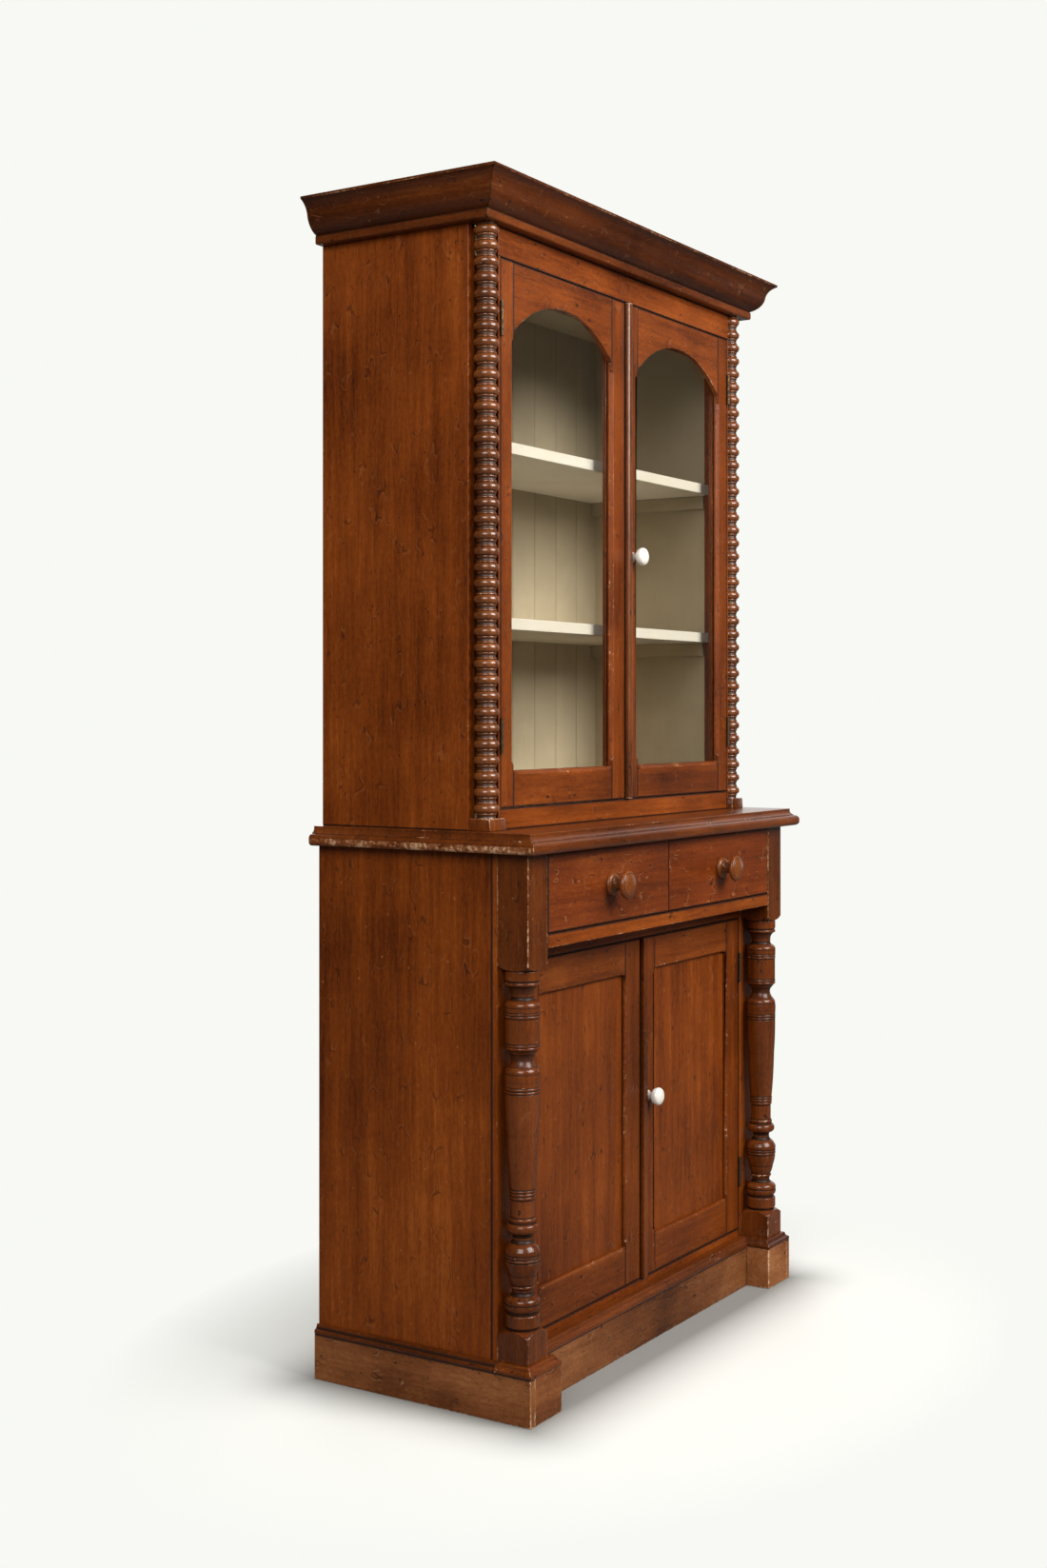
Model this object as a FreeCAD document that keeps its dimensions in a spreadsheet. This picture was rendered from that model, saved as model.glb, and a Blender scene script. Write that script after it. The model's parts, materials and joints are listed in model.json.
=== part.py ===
import FreeCAD, Part
import os
import re
import Sketcher

# Glazed bookcase on a cupboard base. Millimetres, X to the right, front towards -Y, Z up.
# The origin lies on the floor, under the middle of the whole piece.

doc = FreeCAD.newDocument("Bookcase")

# Driving dimensions, one cell each
sizes = {
    # lower case
    "lower_width": 1042,
    "lower_depth": 464,
    "side_board": 22,
    "back_board": 12,
    "frame_board": 22,
    "shelf_board": 21.5,
    "lower_back_count": 7,
    "lower_stile_width": 78,
    "stile_lap": 11,
    "bottom_rail_height": 32,
    "lower_door_opening": 679,
    "door_head_height": 30.5,
    "drawer_rail_height": 24.5,
    "drawer_opening": 146,
    "lower_shelf_rise": 330,
    "lower_shelf_setback": 62,
    "cleat_width": 20,
    "cleat_height": 28,
    # corner posts
    "post_square": 65,
    "post_foot_height": 56,
    "post_head_height": 207,
    "post_foot_shoulder": 14,
    "post_head_shoulder": 12,
    # plinth
    "plinth_height": 85,
    "plinth_cap_height": 17,
    "plinth_reach": 14,
    "plinth_block_width": 105,
    "front_plinth_reach": 27,
    "cap_top_reach": 3,
    # waist board
    "waist_thickness": 36.5,
    "waist_nosing": 22,
    "waist_reach": 31,
    "waist_step": 15,
    "waist_cove": 6,
    # upper case
    "upper_side_setback": 11,
    "upper_setback": 100,
    "upper_back_count": 11,
    "upper_rail_height": 38,
    "upper_door_opening": 995,
    "frieze_height": 53.5,
    "upper_stile_show": 6,
    "low_shelf_rise": 387.5,
    "high_shelf_rise": 715,
    "upper_shelf_setback": 45,
    # bobbin columns
    "bead_diameter": 47,
    "bead_count": 37,
    "column_proud": 13.5,
    "column_recess": 33.5,
    "column_block_height": 22,
    "column_block_width": 53,
    "column_block_flare": 3,
    # cornice
    "bed_height": 15,
    "bed_reach": 22,
    "crown_height": 65,
    "crown_reach": 66.5,
    "cornice_backing": 40,
    # doors
    "door_gap": 1.5,
    "meeting_gap": 3,
    "upper_meeting_stile": 50.5,
    "upper_hinge_stile": 43,
    "upper_bottom_rail": 66,
    "arch_rise": 71,
    "arch_crown": 57,
    "glass_thickness": 3,
    "glass_setback": 10,
    "glass_rebate": 8,
    "lower_meeting_stile": 58.5,
    "lower_hinge_stile": 58,
    "lower_bottom_rail": 76,
    "lower_top_rail": 65.5,
    "panel_thickness": 10,
    "panel_setback": 9,
    "panel_groove": 8,
    "cover_bead_width": 16,
    "cover_bead_thickness": 9,
    # butt hinges
    "hinge_length": 64,
    "hinge_leaf_width": 18,
    "hinge_leaf_thickness": 1.5,
    "hinge_leaf_gap": 0.2,
    "knuckle_diameter": 6.8,
    "knuckle_clearance": 0.3,
    "hinge_pin_diameter": 3.2,
    "running_clearance": 0.06,
    "upper_top_hinge_inset": 111,
    "upper_low_hinge_inset": 131,
    "lower_top_hinge_inset": 108,
    "lower_low_hinge_inset": 125,
    # porcelain turn knobs and their catches
    "turn_knob_diameter": 35,
    "turn_knob_reach": 34,
    "turn_knob_inset": 28,
    "upper_knob_rise": 486.5,
    "lower_knob_rise": 361,
    "spindle_diameter": 6,
    "catch_width": 10,
    "catch_thickness": 3,
    "catch_length": 46,
    "catch_clearance": 0.5,
    # drawers
    "drawer_side_gap": 2,
    "drawer_top_gap": 2.5,
    "drawer_low_gap": 1.6,
    "drawer_front": 22,
    "drawer_board": 12,
    "drawer_bottom": 8,
    "drawer_bottom_rise": 10,
    "drawer_side_drop": 10,
    "drawer_back_clearance": 20,
    "drawer_run": 0.3,
    "divider_thickness": 18,
    "divider_setback": 26,
    "guide_clearance": 2,
    "runner_height": 22,
    "runner_width": 74,
    "centre_runner_width": 60,
    "drawer_knob_diameter": 52,
    "drawer_knob_reach": 45,
}

sheet = doc.addObject("Spreadsheet::Sheet", "Sizes")
for row, (alias, number) in enumerate(sizes.items(), start=1):
    sheet.set(f"A{row}", alias)
    sheet.set(f"B{row}", str(number))
    sheet.setAlias(f"B{row}", alias)
doc.recompute()

# Planes and levels that follow from the sizes
places = {
    # depth planes
    "back": "(lower_depth + drawer_knob_reach) / 2",
    "back_inside": "back - back_board",
    "post_face": "back - lower_depth",
    "frame_face": "post_face + post_square",
    "frame_back": "frame_face + frame_board",
    "lower_side_front": "frame_face + stile_lap",
    "plinth_face": "post_face - plinth_reach",
    "front_plinth_face": "frame_face - front_plinth_reach",
    "upper_face": "post_face + upper_setback",
    "upper_frame_back": "upper_face + frame_board",
    "upper_side_front": "upper_face + column_recess",
    "stile_web_back": "upper_side_front + frame_board",
    "column_front": "upper_face - column_proud",
    "column_axis_y": "column_front + bead_diameter / 2",
    "drawer_back": "back_inside - drawer_back_clearance",
    # half widths
    "lower_half": "lower_width / 2",
    "lower_inside": "lower_half - side_board",
    "lower_door_half": "lower_half - lower_stile_width",
    "post_inner": "lower_half - post_square",
    "plinth_half": "lower_half + plinth_reach",
    "block_inner": "plinth_half - plinth_block_width",
    "upper_half": "lower_half - upper_side_setback",
    "upper_inside": "upper_half - side_board",
    "column_inner": "upper_half - bead_diameter",
    "upper_door_half": "column_inner - upper_stile_show",
    "column_axis_x": "upper_half - bead_diameter / 2",
    "door_start": "meeting_gap / 2",
    "upper_door_edge": "upper_door_half - door_gap",
    "lower_door_edge": "lower_door_half - door_gap",
    "upper_pane_start": "door_start + upper_meeting_stile",
    "upper_pane_end": "upper_door_edge - upper_hinge_stile",
    "lower_panel_start": "door_start + lower_meeting_stile",
    "lower_panel_end": "lower_door_edge - lower_hinge_stile",
    "turn_knob_x": "door_start + turn_knob_inset",
    "drawer_start": "meeting_gap / 2",
    "drawer_end": "post_inner - drawer_side_gap",
    "drawer_middle": "(drawer_start + drawer_end) / 2",
    "box_start": "divider_thickness / 2 + guide_clearance",
    "box_end": "lower_door_half - guide_clearance",
    # levels
    "cap_top": "plinth_height + plinth_cap_height",
    "bottom_rail_top": "plinth_height + bottom_rail_height",
    "lower_door_top": "bottom_rail_top + lower_door_opening",
    "drawer_rail_low": "lower_door_top + door_head_height",
    "drawer_floor": "drawer_rail_low + drawer_rail_height",
    "waist_low": "drawer_floor + drawer_opening",
    "waist_top": "waist_low + waist_thickness",
    "block_top": "waist_top + column_block_height",
    "upper_rail_top": "waist_top + upper_rail_height",
    "frieze_low": "upper_rail_top + upper_door_opening",
    "column_top": "frieze_low + frieze_height",
    "crown_low": "column_top + bed_height",
    "case_top": "crown_low + cornice_backing",
    "lower_door_low": "bottom_rail_top + door_gap",
    "lower_door_high": "lower_door_top - door_gap",
    "upper_door_low": "upper_rail_top + door_gap",
    "upper_door_high": "frieze_low - door_gap",
    "lower_panel_low": "lower_door_low + lower_bottom_rail",
    "lower_panel_high": "lower_door_high - lower_top_rail",
    "pane_low": "upper_door_low + upper_bottom_rail",
    "arch_top": "upper_door_high - arch_crown",
    "arch_spring": "arch_top - arch_rise",
    "upper_knob_z": "upper_rail_top + upper_knob_rise",
    "lower_knob_z": "bottom_rail_top + lower_knob_rise",
    "drawer_low": "drawer_floor + drawer_low_gap",
    "drawer_high": "waist_low - drawer_top_gap",
    "drawer_knob_z": "(drawer_low + drawer_high) / 2",
    "low_shelf_top": "waist_top + low_shelf_rise",
    "high_shelf_top": "waist_top + high_shelf_rise",
    "lower_shelf_top": "bottom_rail_top + lower_shelf_rise",
    # door furniture
    "knuckle_radius": "knuckle_diameter / 2",
    "upper_pin_y": "upper_face - knuckle_radius - knuckle_clearance",
    "lower_pin_y": "frame_face - knuckle_radius - knuckle_clearance",
    "upper_pin_x": "upper_door_half - door_gap / 2",
    "lower_pin_x": "lower_door_half - door_gap / 2",
}


def formula(text):
    """Write a formula of the sheet's cells for words that name sizes and places."""
    def swap(found):
        word = found.group(0)
        if word in sizes:
            return f"Sizes.{word}"
        if word in places:
            return f"({formula(places[word])})"
        return word
    return re.sub(r"[a-z_]+[a-z]", swap, str(text))


def worked_out(text):
    """Give a formula's present value."""
    return float(sheet.evalExpression(formula(text)))


def bind(thing, prop, text):
    thing.setExpression(prop, formula(text))


def put(thing, x="0", y="0", z="0"):
    """Place a thing by formulas."""
    bind(thing, "Placement.Base.x", x)
    bind(thing, "Placement.Base.y", y)
    bind(thing, "Placement.Base.z", z)
    return thing


def board(name, x, y, z):
    """Rectangular board between two limits each way."""
    box = doc.addObject("Part::Box", name)
    bind(box, "Length", f"({x[1]}) - ({x[0]})")
    bind(box, "Width", f"({y[1]}) - ({y[0]})")
    bind(box, "Height", f"({z[1]}) - ({z[0]})")
    return put(box, x[0], y[0], z[0])


def rod(name, radius, z, x="0", y="0"):
    """Upright round rod."""
    cylinder = doc.addObject("Part::Cylinder", name)
    bind(cylinder, "Radius", radius)
    bind(cylinder, "Height", f"({z[1]}) - ({z[0]})")
    return put(cylinder, x, y, z[0])


def group(name, members):
    """Several separate solids in one node."""
    compound = doc.addObject("Part::Compound", name)
    compound.Links = members
    return compound


def less(name, base, tools):
    """Base with every tool cut away."""
    result = doc.addObject("Part::Cut", name)
    result.Base = base
    result.Tool = tools[0] if len(tools) == 1 else group(f"{name}_tools", tools)
    return result


def joined(name, members):
    """One solid made of several."""
    result = doc.addObject("Part::MultiFuse", name)
    result.Shapes = members
    result.Refine = True
    return result


def shared(name, members):
    """What several solids have in common."""
    result = doc.addObject("Part::MultiCommon", name)
    result.Shapes = members
    return result


def mirrored(name, source):
    """The same piece for the other side."""
    result = doc.addObject("Part::Mirroring", name)
    result.Source = source
    result.Normal = (1, 0, 0)
    return result


def origin_part(body, role):
    return [part for part in body.Origin.OriginFeatures if part.Role == role][0]


def outline(body, plane, steps):
    """Closed sketch through steps of (across, up) or (across, up, bulge).

    A bulge is the rise of an arc over half its chord, outwards when the
    steps run anticlockwise, and belongs to the edge that ends at its step.
    Every arc is drawn anticlockwise, so a hollow one starts at its far end.
    """
    sketch = body.newObject("Sketcher::SketchObject", f"{body.Name}_outline")
    sketch.AttachmentSupport = [(origin_part(body, plane), "")]
    sketch.MapMode = "FlatFace"
    points = [FreeCAD.Vector(worked_out(step[0]), worked_out(step[1]), 0) for step in steps]
    ends = []
    for index, step in enumerate(steps):
        start, end = points[index - 1], points[index]
        if len(step) == 3:
            chord = end - start
            bend = worked_out(step[2])
            middle = (start + end) / 2 + FreeCAD.Vector(chord.y, -chord.x, 0) * (bend / 2)
            edge = Part.Arc(start, middle, end) if bend > 0 else Part.Arc(end, middle, start)
            ends.append((1, 2) if bend > 0 else (2, 1))
        else:
            edge = Part.LineSegment(start, end)
            ends.append((1, 2))
        sketch.addGeometry(edge, False)
    rules = []
    formulas = []
    for index, step in enumerate(steps):
        following = (index + 1) % len(steps)
        rules.append(Sketcher.Constraint("Coincident", index, ends[index][1], following, ends[following][0]))
        formulas.append(None)
        rules.append(Sketcher.Constraint("DistanceX", index, ends[index][1], points[index].x))
        formulas.append(step[0])
        rules.append(Sketcher.Constraint("DistanceY", index, ends[index][1], points[index].y))
        formulas.append(step[1])
        if len(step) == 3:
            before = steps[index - 1]
            across = f"(({step[0]}) - ({before[0]}))"
            rise = f"(({step[1]}) - ({before[1]}))"
            bend = f"({step[2]})"
            radius = f"sqrt({across}^2 + {rise}^2) * (1 + {bend}^2) / (4 * abs({bend}))"
            rules.append(Sketcher.Constraint("Radius", index, worked_out(radius)))
            formulas.append(radius)
    for place, text in zip(sketch.addConstraint(rules), formulas):
        if text is not None:
            bind(sketch, f"Constraints[{place}]", text)
    return sketch


def extruded(name, plane, steps, length, x="0", y="0", z="0", reverse=False):
    """Sketched section drawn out to a length."""
    body = doc.addObject("PartDesign::Body", name)
    pad = body.newObject("PartDesign::Pad", f"{name}_pad")
    pad.Profile = outline(body, plane, steps)
    pad.Reversed = reverse
    bind(pad, "Length", length)
    body.Tip = pad
    return put(body, x, y, z)


def turned(name, plane, steps, x="0", y="0", z="0", steps_each=12):
    """Half section turned about the sketch's upright axis, a long one in several lengths."""
    body = doc.addObject("PartDesign::Body", name)
    rim = steps[1:-1]
    for first in range(0, len(rim) - 1, steps_each):
        length = [tuple(rim[first][:2])] + rim[first + 1:first + steps_each + 1]
        last = first + steps_each + 1 >= len(rim)
        section = [("0", length[0][1])] + length + [steps[-1] if last else ("0", length[-1][1])]
        spin = body.newObject("PartDesign::Revolution", f"{name}_turning")
        spin.Profile = outline(body, plane, section)
        spin.ReferenceAxis = (spin.Profile[0], ["V_Axis"])
        body.Tip = spin
    return put(body, x, y, z)


def moulded(shares, reach, height):
    """Steps of a moulding's section from shares of its reach and height, outwards along minus."""
    steps = []
    for share in shares:
        step = (f"-({reach}) * {share[0]}", f"({height}) * {share[1]}")
        steps.append(step + tuple(share[2:]))
    return steps


def mitred(name, shares, reach, height, half, front, low):
    """Front and side lengths of a moulding that goes round the case, mitred at the corners."""
    steps = moulded(shares, reach, height)
    whole = f"({half}) + ({reach})"
    bar = extruded(f"{name}_front_bar", "YZ_Plane", steps, f"2 * ({whole})", f"-({whole})", front, low)
    trim = doc.addObject("Part::Wedge", f"{name}_front_trim")
    for prop, text in (
        ("Xmin", f"-({whole})"), ("Xmax", whole), ("X2min", f"-({half})"), ("X2max", half),
        ("Ymin", "0"), ("Ymax", reach),
        ("Zmin", "0"), ("Zmax", height), ("Z2min", "0"), ("Z2max", height),
    ):
        bind(trim, prop, text)
    put(trim, "0", f"({front}) - ({reach})", low)
    front_length = shared(f"{name}_front", [bar, trim])
    side_bar = extruded(
        f"{name}_side_bar", "XZ_Plane", steps, f"back - ({front}) + ({reach})",
        f"-({half})", f"({front}) - ({reach})", low, True,
    )
    side_trim = doc.addObject("Part::Wedge", f"{name}_side_trim")
    for prop, text in (
        ("Xmin", "0"), ("Xmax", f"back - ({front})"),
        ("X2min", f"-({reach})"), ("X2max", f"back - ({front})"),
        ("Ymin", "0"), ("Ymax", reach),
        ("Zmin", "0"), ("Zmax", height), ("Z2min", "0"), ("Z2max", height),
    ):
        bind(side_trim, prop, text)
    side_trim.Placement.Rotation = FreeCAD.Rotation(FreeCAD.Vector(0, 0, 1), 90)
    put(side_trim, f"-({half})", front, low)
    left = shared(f"{name}_left", [side_bar, side_trim])
    return group(name, [front_length, left, mirrored(f"{name}_right", left)])


nodes = []


def keep(*things):
    """Label each finished sub-part and list it for export."""
    for thing in things:
        thing.Label = thing.Name
        nodes.append(thing)


# Lower case boards
lower_left_side = board(
    "lower_left_side", ("-lower_half", "-lower_inside"), ("lower_side_front", "back"), ("0", "waist_low"))
keep(lower_left_side, mirrored("lower_right_side", lower_left_side))

keep(board("lower_bottom", ("-lower_inside", "lower_inside"), ("frame_back", "back_inside"),
           ("bottom_rail_top - side_board", "bottom_rail_top")))

lower_back_boards = []
for index in range(int(sizes["lower_back_count"])):
    width = "2 * lower_inside / lower_back_count"
    lower_back_boards.append(board(
        f"lower_back_board_{index}",
        (f"-lower_inside + {width} * {index}", f"-lower_inside + {width} * {index + 1}"),
        ("back_inside", "back"),
        ("bottom_rail_top - side_board", "waist_low"),
    ))
keep(group("lower_back_boards", lower_back_boards))

keep(board(
    "lower_shelf", ("-lower_inside", "lower_inside"), ("frame_back + lower_shelf_setback", "back_inside"),
    ("lower_shelf_top - shelf_board", "lower_shelf_top")))
lower_cleat = board(
    "lower_left_cleat", ("-lower_inside", "-lower_inside + cleat_width"),
    ("frame_back + lower_shelf_setback + cleat_width", "back_inside"),
    ("lower_shelf_top - shelf_board - cleat_height", "lower_shelf_top - shelf_board"))
keep(group("lower_shelf_cleats", [lower_cleat, mirrored("lower_right_cleat", lower_cleat)]))

# Front frame of the lower case, with recesses for the hinge leaves
hinge_places = {
    "upper_top": ("upper", "upper_door_high + door_gap - upper_top_hinge_inset"),
    "upper_low": ("upper", "upper_door_low - door_gap + upper_low_hinge_inset"),
    "lower_top": ("lower", "lower_door_high + door_gap - lower_top_hinge_inset"),
    "lower_low": ("lower", "lower_door_low - door_gap + lower_low_hinge_inset"),
}
face_names = {"upper": "upper_face", "lower": "frame_face"}


def leaf_recess(name, hinge, side):
    """Shallow housing in a stile's edge for one hinge leaf, on the right-hand side."""
    case, middle = hinge_places[hinge]
    reach = f"{case}_pin_x + ({side}) * (hinge_leaf_gap / 2 + hinge_leaf_thickness)"
    joint = f"{case}_pin_x"
    across = (joint, reach) if side > 0 else (reach, joint)
    depth = (f"{face_names[case]} - knuckle_clearance", f"{face_names[case]} + hinge_leaf_width")
    height = (f"({middle}) - hinge_length / 2", f"({middle}) + hinge_length / 2")
    return board(name, across, depth, height)


lower_stile = less(
    "lower_right_stile",
    board("lower_stile_board", ("lower_door_half", "lower_half"), ("frame_face", "frame_back"),
          ("0", "waist_low")),
    [
        board("lower_stile_rebate", ("lower_inside", "lower_half"), ("lower_side_front", "frame_back"),
              ("0", "waist_low")),
        leaf_recess("lower_stile_top_housing", "lower_top", 1),
        leaf_recess("lower_stile_low_housing", "lower_low", 1),
    ],
)
keep(group("lower_front_stiles", [lower_stile, mirrored("lower_left_stile", lower_stile)]))
keep(board("lower_bottom_rail", ("-lower_door_half", "lower_door_half"), ("frame_face", "frame_back"),
           ("plinth_height", "bottom_rail_top")))
keep(board("door_head_rail", ("-lower_door_half", "lower_door_half"), ("frame_face", "frame_back"),
           ("lower_door_top", "drawer_floor")))
keep(board("drawer_rail", ("-post_inner", "post_inner"), ("post_face", "frame_face"),
           ("drawer_rail_low", "drawer_floor")))
keep(board("drawer_divider", ("-divider_thickness / 2", "divider_thickness / 2"),
           ("post_face + divider_setback", "back_inside"), ("drawer_floor", "waist_low")))
side_runner = board(
    "left_runner", ("-lower_inside", "-lower_inside + runner_width"), ("frame_back", "back_inside"),
    ("drawer_floor - runner_height", "drawer_floor"))
centre_runner = board(
    "centre_runner", ("-centre_runner_width / 2", "centre_runner_width / 2"), ("frame_back", "back_inside"),
    ("drawer_floor - runner_height", "drawer_floor"))
keep(group("drawer_runners", [side_runner, centre_runner, mirrored("right_runner", side_runner)]))

# Corner posts: square foot and head, with a turned shaft between them
# Each row is height over the turned length, radius over half the square, and any bulge
post_turning_shares = [
    (0.000, 0.86, 0.16), (0.006, 0.90), (0.009, 0.96, 0.3), (0.038, 0.96), (0.041, 0.93, 0.3),
    (0.042, 0.84), (0.048, 0.84),
    (0.070, 0.965, 0.36), (0.088, 0.83, 0.42), (0.092, 0.70), (0.104, 0.57, -0.35), (0.112, 0.60),
    (0.113, 0.66), (0.120, 0.66, 0.3), (0.121, 0.61),
    (0.150, 0.80, 0.12), (0.186, 0.955, 0.06), (0.188, 0.90), (0.190, 0.955),
    (0.197, 0.955, 0.3), (0.198, 0.92), (0.199, 0.955), (0.207, 0.95, 0.3),
    (0.224, 0.92, 0.25), (0.238, 0.70, 0.15), (0.252, 0.55, -0.3), (0.264, 0.60, -0.25),
    (0.268, 0.78), (0.286, 0.875, 0.35), (0.294, 0.72, 0.35), (0.300, 0.72), (0.309, 0.70, 0.3),
    (0.310, 0.655), (0.361, 0.655), (0.362, 0.70), (0.370, 0.70, 0.35), (0.371, 0.67), (0.372, 0.715),
    (0.380, 0.715, 0.35), (0.381, 0.68), (0.382, 0.725), (0.388, 0.725, 0.35), (0.389, 0.715),
    (0.540, 0.88, 0.02), (0.656, 0.955, 0.02), (0.657, 0.92),
    (0.658, 0.955), (0.665, 0.955, 0.3), (0.666, 0.92), (0.667, 0.955), (0.674, 0.955, 0.3), (0.675, 0.92),
    (0.676, 0.965), (0.690, 0.97), (0.712, 0.95, 0.08), (0.730, 0.80, 0.28),
    (0.745, 0.63, -0.1), (0.770, 0.76, -0.32), (0.780, 0.92, -0.1),
    (0.781, 0.95), (0.787, 0.95, 0.3), (0.788, 0.91), (0.789, 0.95), (0.794, 0.95, 0.3),
    (0.796, 0.94), (0.868, 0.94), (0.869, 0.955), (0.875, 0.955, 0.3), (0.876, 0.92), (0.877, 0.955),
    (0.883, 0.955, 0.3), (0.898, 0.96, 0.08), (0.914, 0.80, 0.38),
    (0.918, 0.68), (0.930, 0.64, -0.3), (0.958, 0.88, -0.3), (0.959, 0.94), (0.967, 0.95, 0.3),
    (0.968, 0.90), (0.971, 0.90), (0.973, 0.96), (0.998, 0.96), (1.000, 0.92),
]
corner_share = 1.5
head_bend_share = 0.16
turned_length = "(waist_low - cap_top - post_foot_height - post_head_height)"
foot_level = "cap_top + post_foot_height"
post_steps = [
    ("0", "cap_top"),
    (f"post_square / 2 * {corner_share}", "cap_top"),
    (f"post_square / 2 * {corner_share}", f"{foot_level} - post_foot_shoulder"),
]
for share in post_turning_shares:
    level = f"{foot_level} + {turned_length} * {share[0]}"
    post_steps.append((f"post_square / 2 * {share[1]}", level) + tuple(share[2:]))
post_steps += [
    (f"post_square / 2 * {corner_share}", "waist_low - post_head_height + post_head_shoulder",
     head_bend_share),
    (f"post_square / 2 * {corner_share}", "waist_low"),
    ("0", "waist_low"),
]
right_post = shared("right_corner_post", [
    turned("post_turning", "XZ_Plane", post_steps,
           "lower_half - post_square / 2", "post_face + post_square / 2"),
    board("post_blank", ("post_inner", "lower_half"), ("post_face", "frame_face"), ("cap_top", "waist_low")),
])
keep(mirrored("left_corner_post", right_post), right_post)

# Plinth boards, corner blocks and the moulded caps above them
keep(board("front_plinth", ("-block_inner", "block_inner"),
           ("front_plinth_face", "front_plinth_face + side_board"), ("0", "plinth_height")))
right_side_plinth = board("right_side_plinth", ("lower_half", "plinth_half"), ("plinth_face", "back"),
                          ("0", "plinth_height"))
keep(group("side_plinths", [right_side_plinth, mirrored("left_side_plinth", right_side_plinth)]))
right_block = board("right_plinth_block", ("block_inner", "lower_half"), ("plinth_face", "frame_face"),
                    ("0", "plinth_height"))
keep(group("plinth_blocks", [right_block, mirrored("left_plinth_block", right_block)]))

# Shares of the cap's set-back and height, from its outer lower edge up to its inner top edge
cap_edge_shares = [
    (0.0, 0.0), (0.0, 0.2), (0.15, 0.45, 0.35), (0.6, 0.75, -0.3), (0.62, 0.82), (1.0, 1.0, 0.35),
]
cap_set_back = "(plinth_reach - cap_top_reach)"


def cap_edge(outer, inwards):
    """Steps up a moulded cap edge, from the outer face towards the inside."""
    steps = []
    for share in cap_edge_shares:
        step = (f"({outer}) + ({inwards}) * {cap_set_back} * {share[0]}", f"plinth_cap_height * {share[1]}")
        steps.append(step + tuple(share[2:]))
    return steps


def turned_back(steps):
    """The same edge walked the other way."""
    result = []
    for index in range(len(steps) - 1, -1, -1):
        bend = steps[index + 1][2:] if index + 1 < len(steps) else ()
        result.append(tuple(steps[index][:2]) + tuple(bend))
    return result


cap_across = extruded(
    "cap_across", "XZ_Plane", cap_edge("plinth_half", -1) + turned_back(cap_edge("block_inner", 1)),
    "frame_face - plinth_face", "0", "plinth_face", "plinth_height", True)
cap_along = extruded(
    "cap_along", "YZ_Plane",
    [("frame_face", "0"), ("frame_face", "plinth_cap_height")] + turned_back(cap_edge("plinth_face", 1)),
    "plinth_block_width", "block_inner", "0", "plinth_height")
right_block_cap = shared("right_block_cap", [cap_across, cap_along])
side_cap = extruded(
    "right_side_cap", "XZ_Plane",
    cap_edge("plinth_half", -1) + [("lower_half", "plinth_cap_height"), ("lower_half", "0")],
    "back - frame_face", "0", "frame_face", "plinth_height", True)
front_cap = less("front_cap", extruded(
    "front_cap_bar", "YZ_Plane",
    [("frame_face", "0"), ("frame_face", "plinth_cap_height")]
    + turned_back(cap_edge("front_plinth_face", 1)),
    "2 * (block_inner + plinth_reach)", "-block_inner - plinth_reach", "0", "plinth_height"),
    [right_block_cap, mirrored("left_block_cap", right_block_cap)])
keep(group("plinth_caps", [
    front_cap, right_block_cap, mirrored("left_cap", right_block_cap),
    side_cap, mirrored("left_side_cap", side_cap),
]))


# Waist board with a nosing and a cove round three sides
nose_round_share = 0.4
nose_high_share = 0.6
nose_low_share = 0.35
nose_bend_share = 0.4
cove_high_share = 0.4
cove_low_share = 0.3
cove_bend_share = -0.35


def waist_edge(side_face, outwards):
    """Steps down the moulded edge, from the top surface to the underside."""
    step_edge = f"({side_face}) + ({outwards}) * waist_step"
    nose_edge = f"({side_face}) + ({outwards}) * waist_reach"
    cove_edge = f"({side_face}) + ({outwards}) * (waist_step + waist_cove)"
    nose_top = f"({side_face}) + ({outwards}) * (waist_reach - waist_nosing * {nose_round_share})"
    return [
        (step_edge, "waist_thickness"),
        (step_edge, f"waist_thickness - waist_cove * {cove_high_share}"),
        (cove_edge, f"waist_nosing + waist_cove * {cove_low_share}", cove_bend_share),
        (cove_edge, "waist_nosing"),
        (nose_top, "waist_nosing"),
        (nose_edge, f"waist_nosing * {nose_high_share}", nose_bend_share),
        (nose_edge, f"waist_nosing * {nose_low_share}"),
        (nose_top, "0", nose_bend_share),
    ]


waist_along = extruded(
    "waist_along", "YZ_Plane",
    [("back", "0"), ("back", "waist_thickness")] + waist_edge("post_face", -1),
    "2 * (lower_half + waist_reach)", "-lower_half - waist_reach", "0", "waist_low")
waist_across = extruded(
    "waist_across", "XZ_Plane",
    waist_edge("-lower_half", -1) + turned_back(waist_edge("lower_half", 1)),
    "back - post_face + waist_reach", "0", "post_face - waist_reach", "waist_low", True)
keep(shared("waist_board", [waist_along, waist_across]))

# Upper case boards
upper_left_side = board(
    "upper_left_side", ("-upper_half", "-upper_inside"), ("upper_side_front", "back"),
    ("waist_top", "case_top"))
keep(upper_left_side, mirrored("upper_right_side", upper_left_side))


def notched(name, low_x, front, rear, level):
    """Board across the upper case, cut back at both front corners to clear what stands there."""
    corner = board(f"{name}_right_corner", (low_x, "upper_inside"), (front, rear), level)
    whole = board(f"{name}_board", ("-upper_inside", "upper_inside"), (front, "back_inside"), level)
    return less(name, whole, [corner, mirrored(f"{name}_left_corner", corner)])


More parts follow.
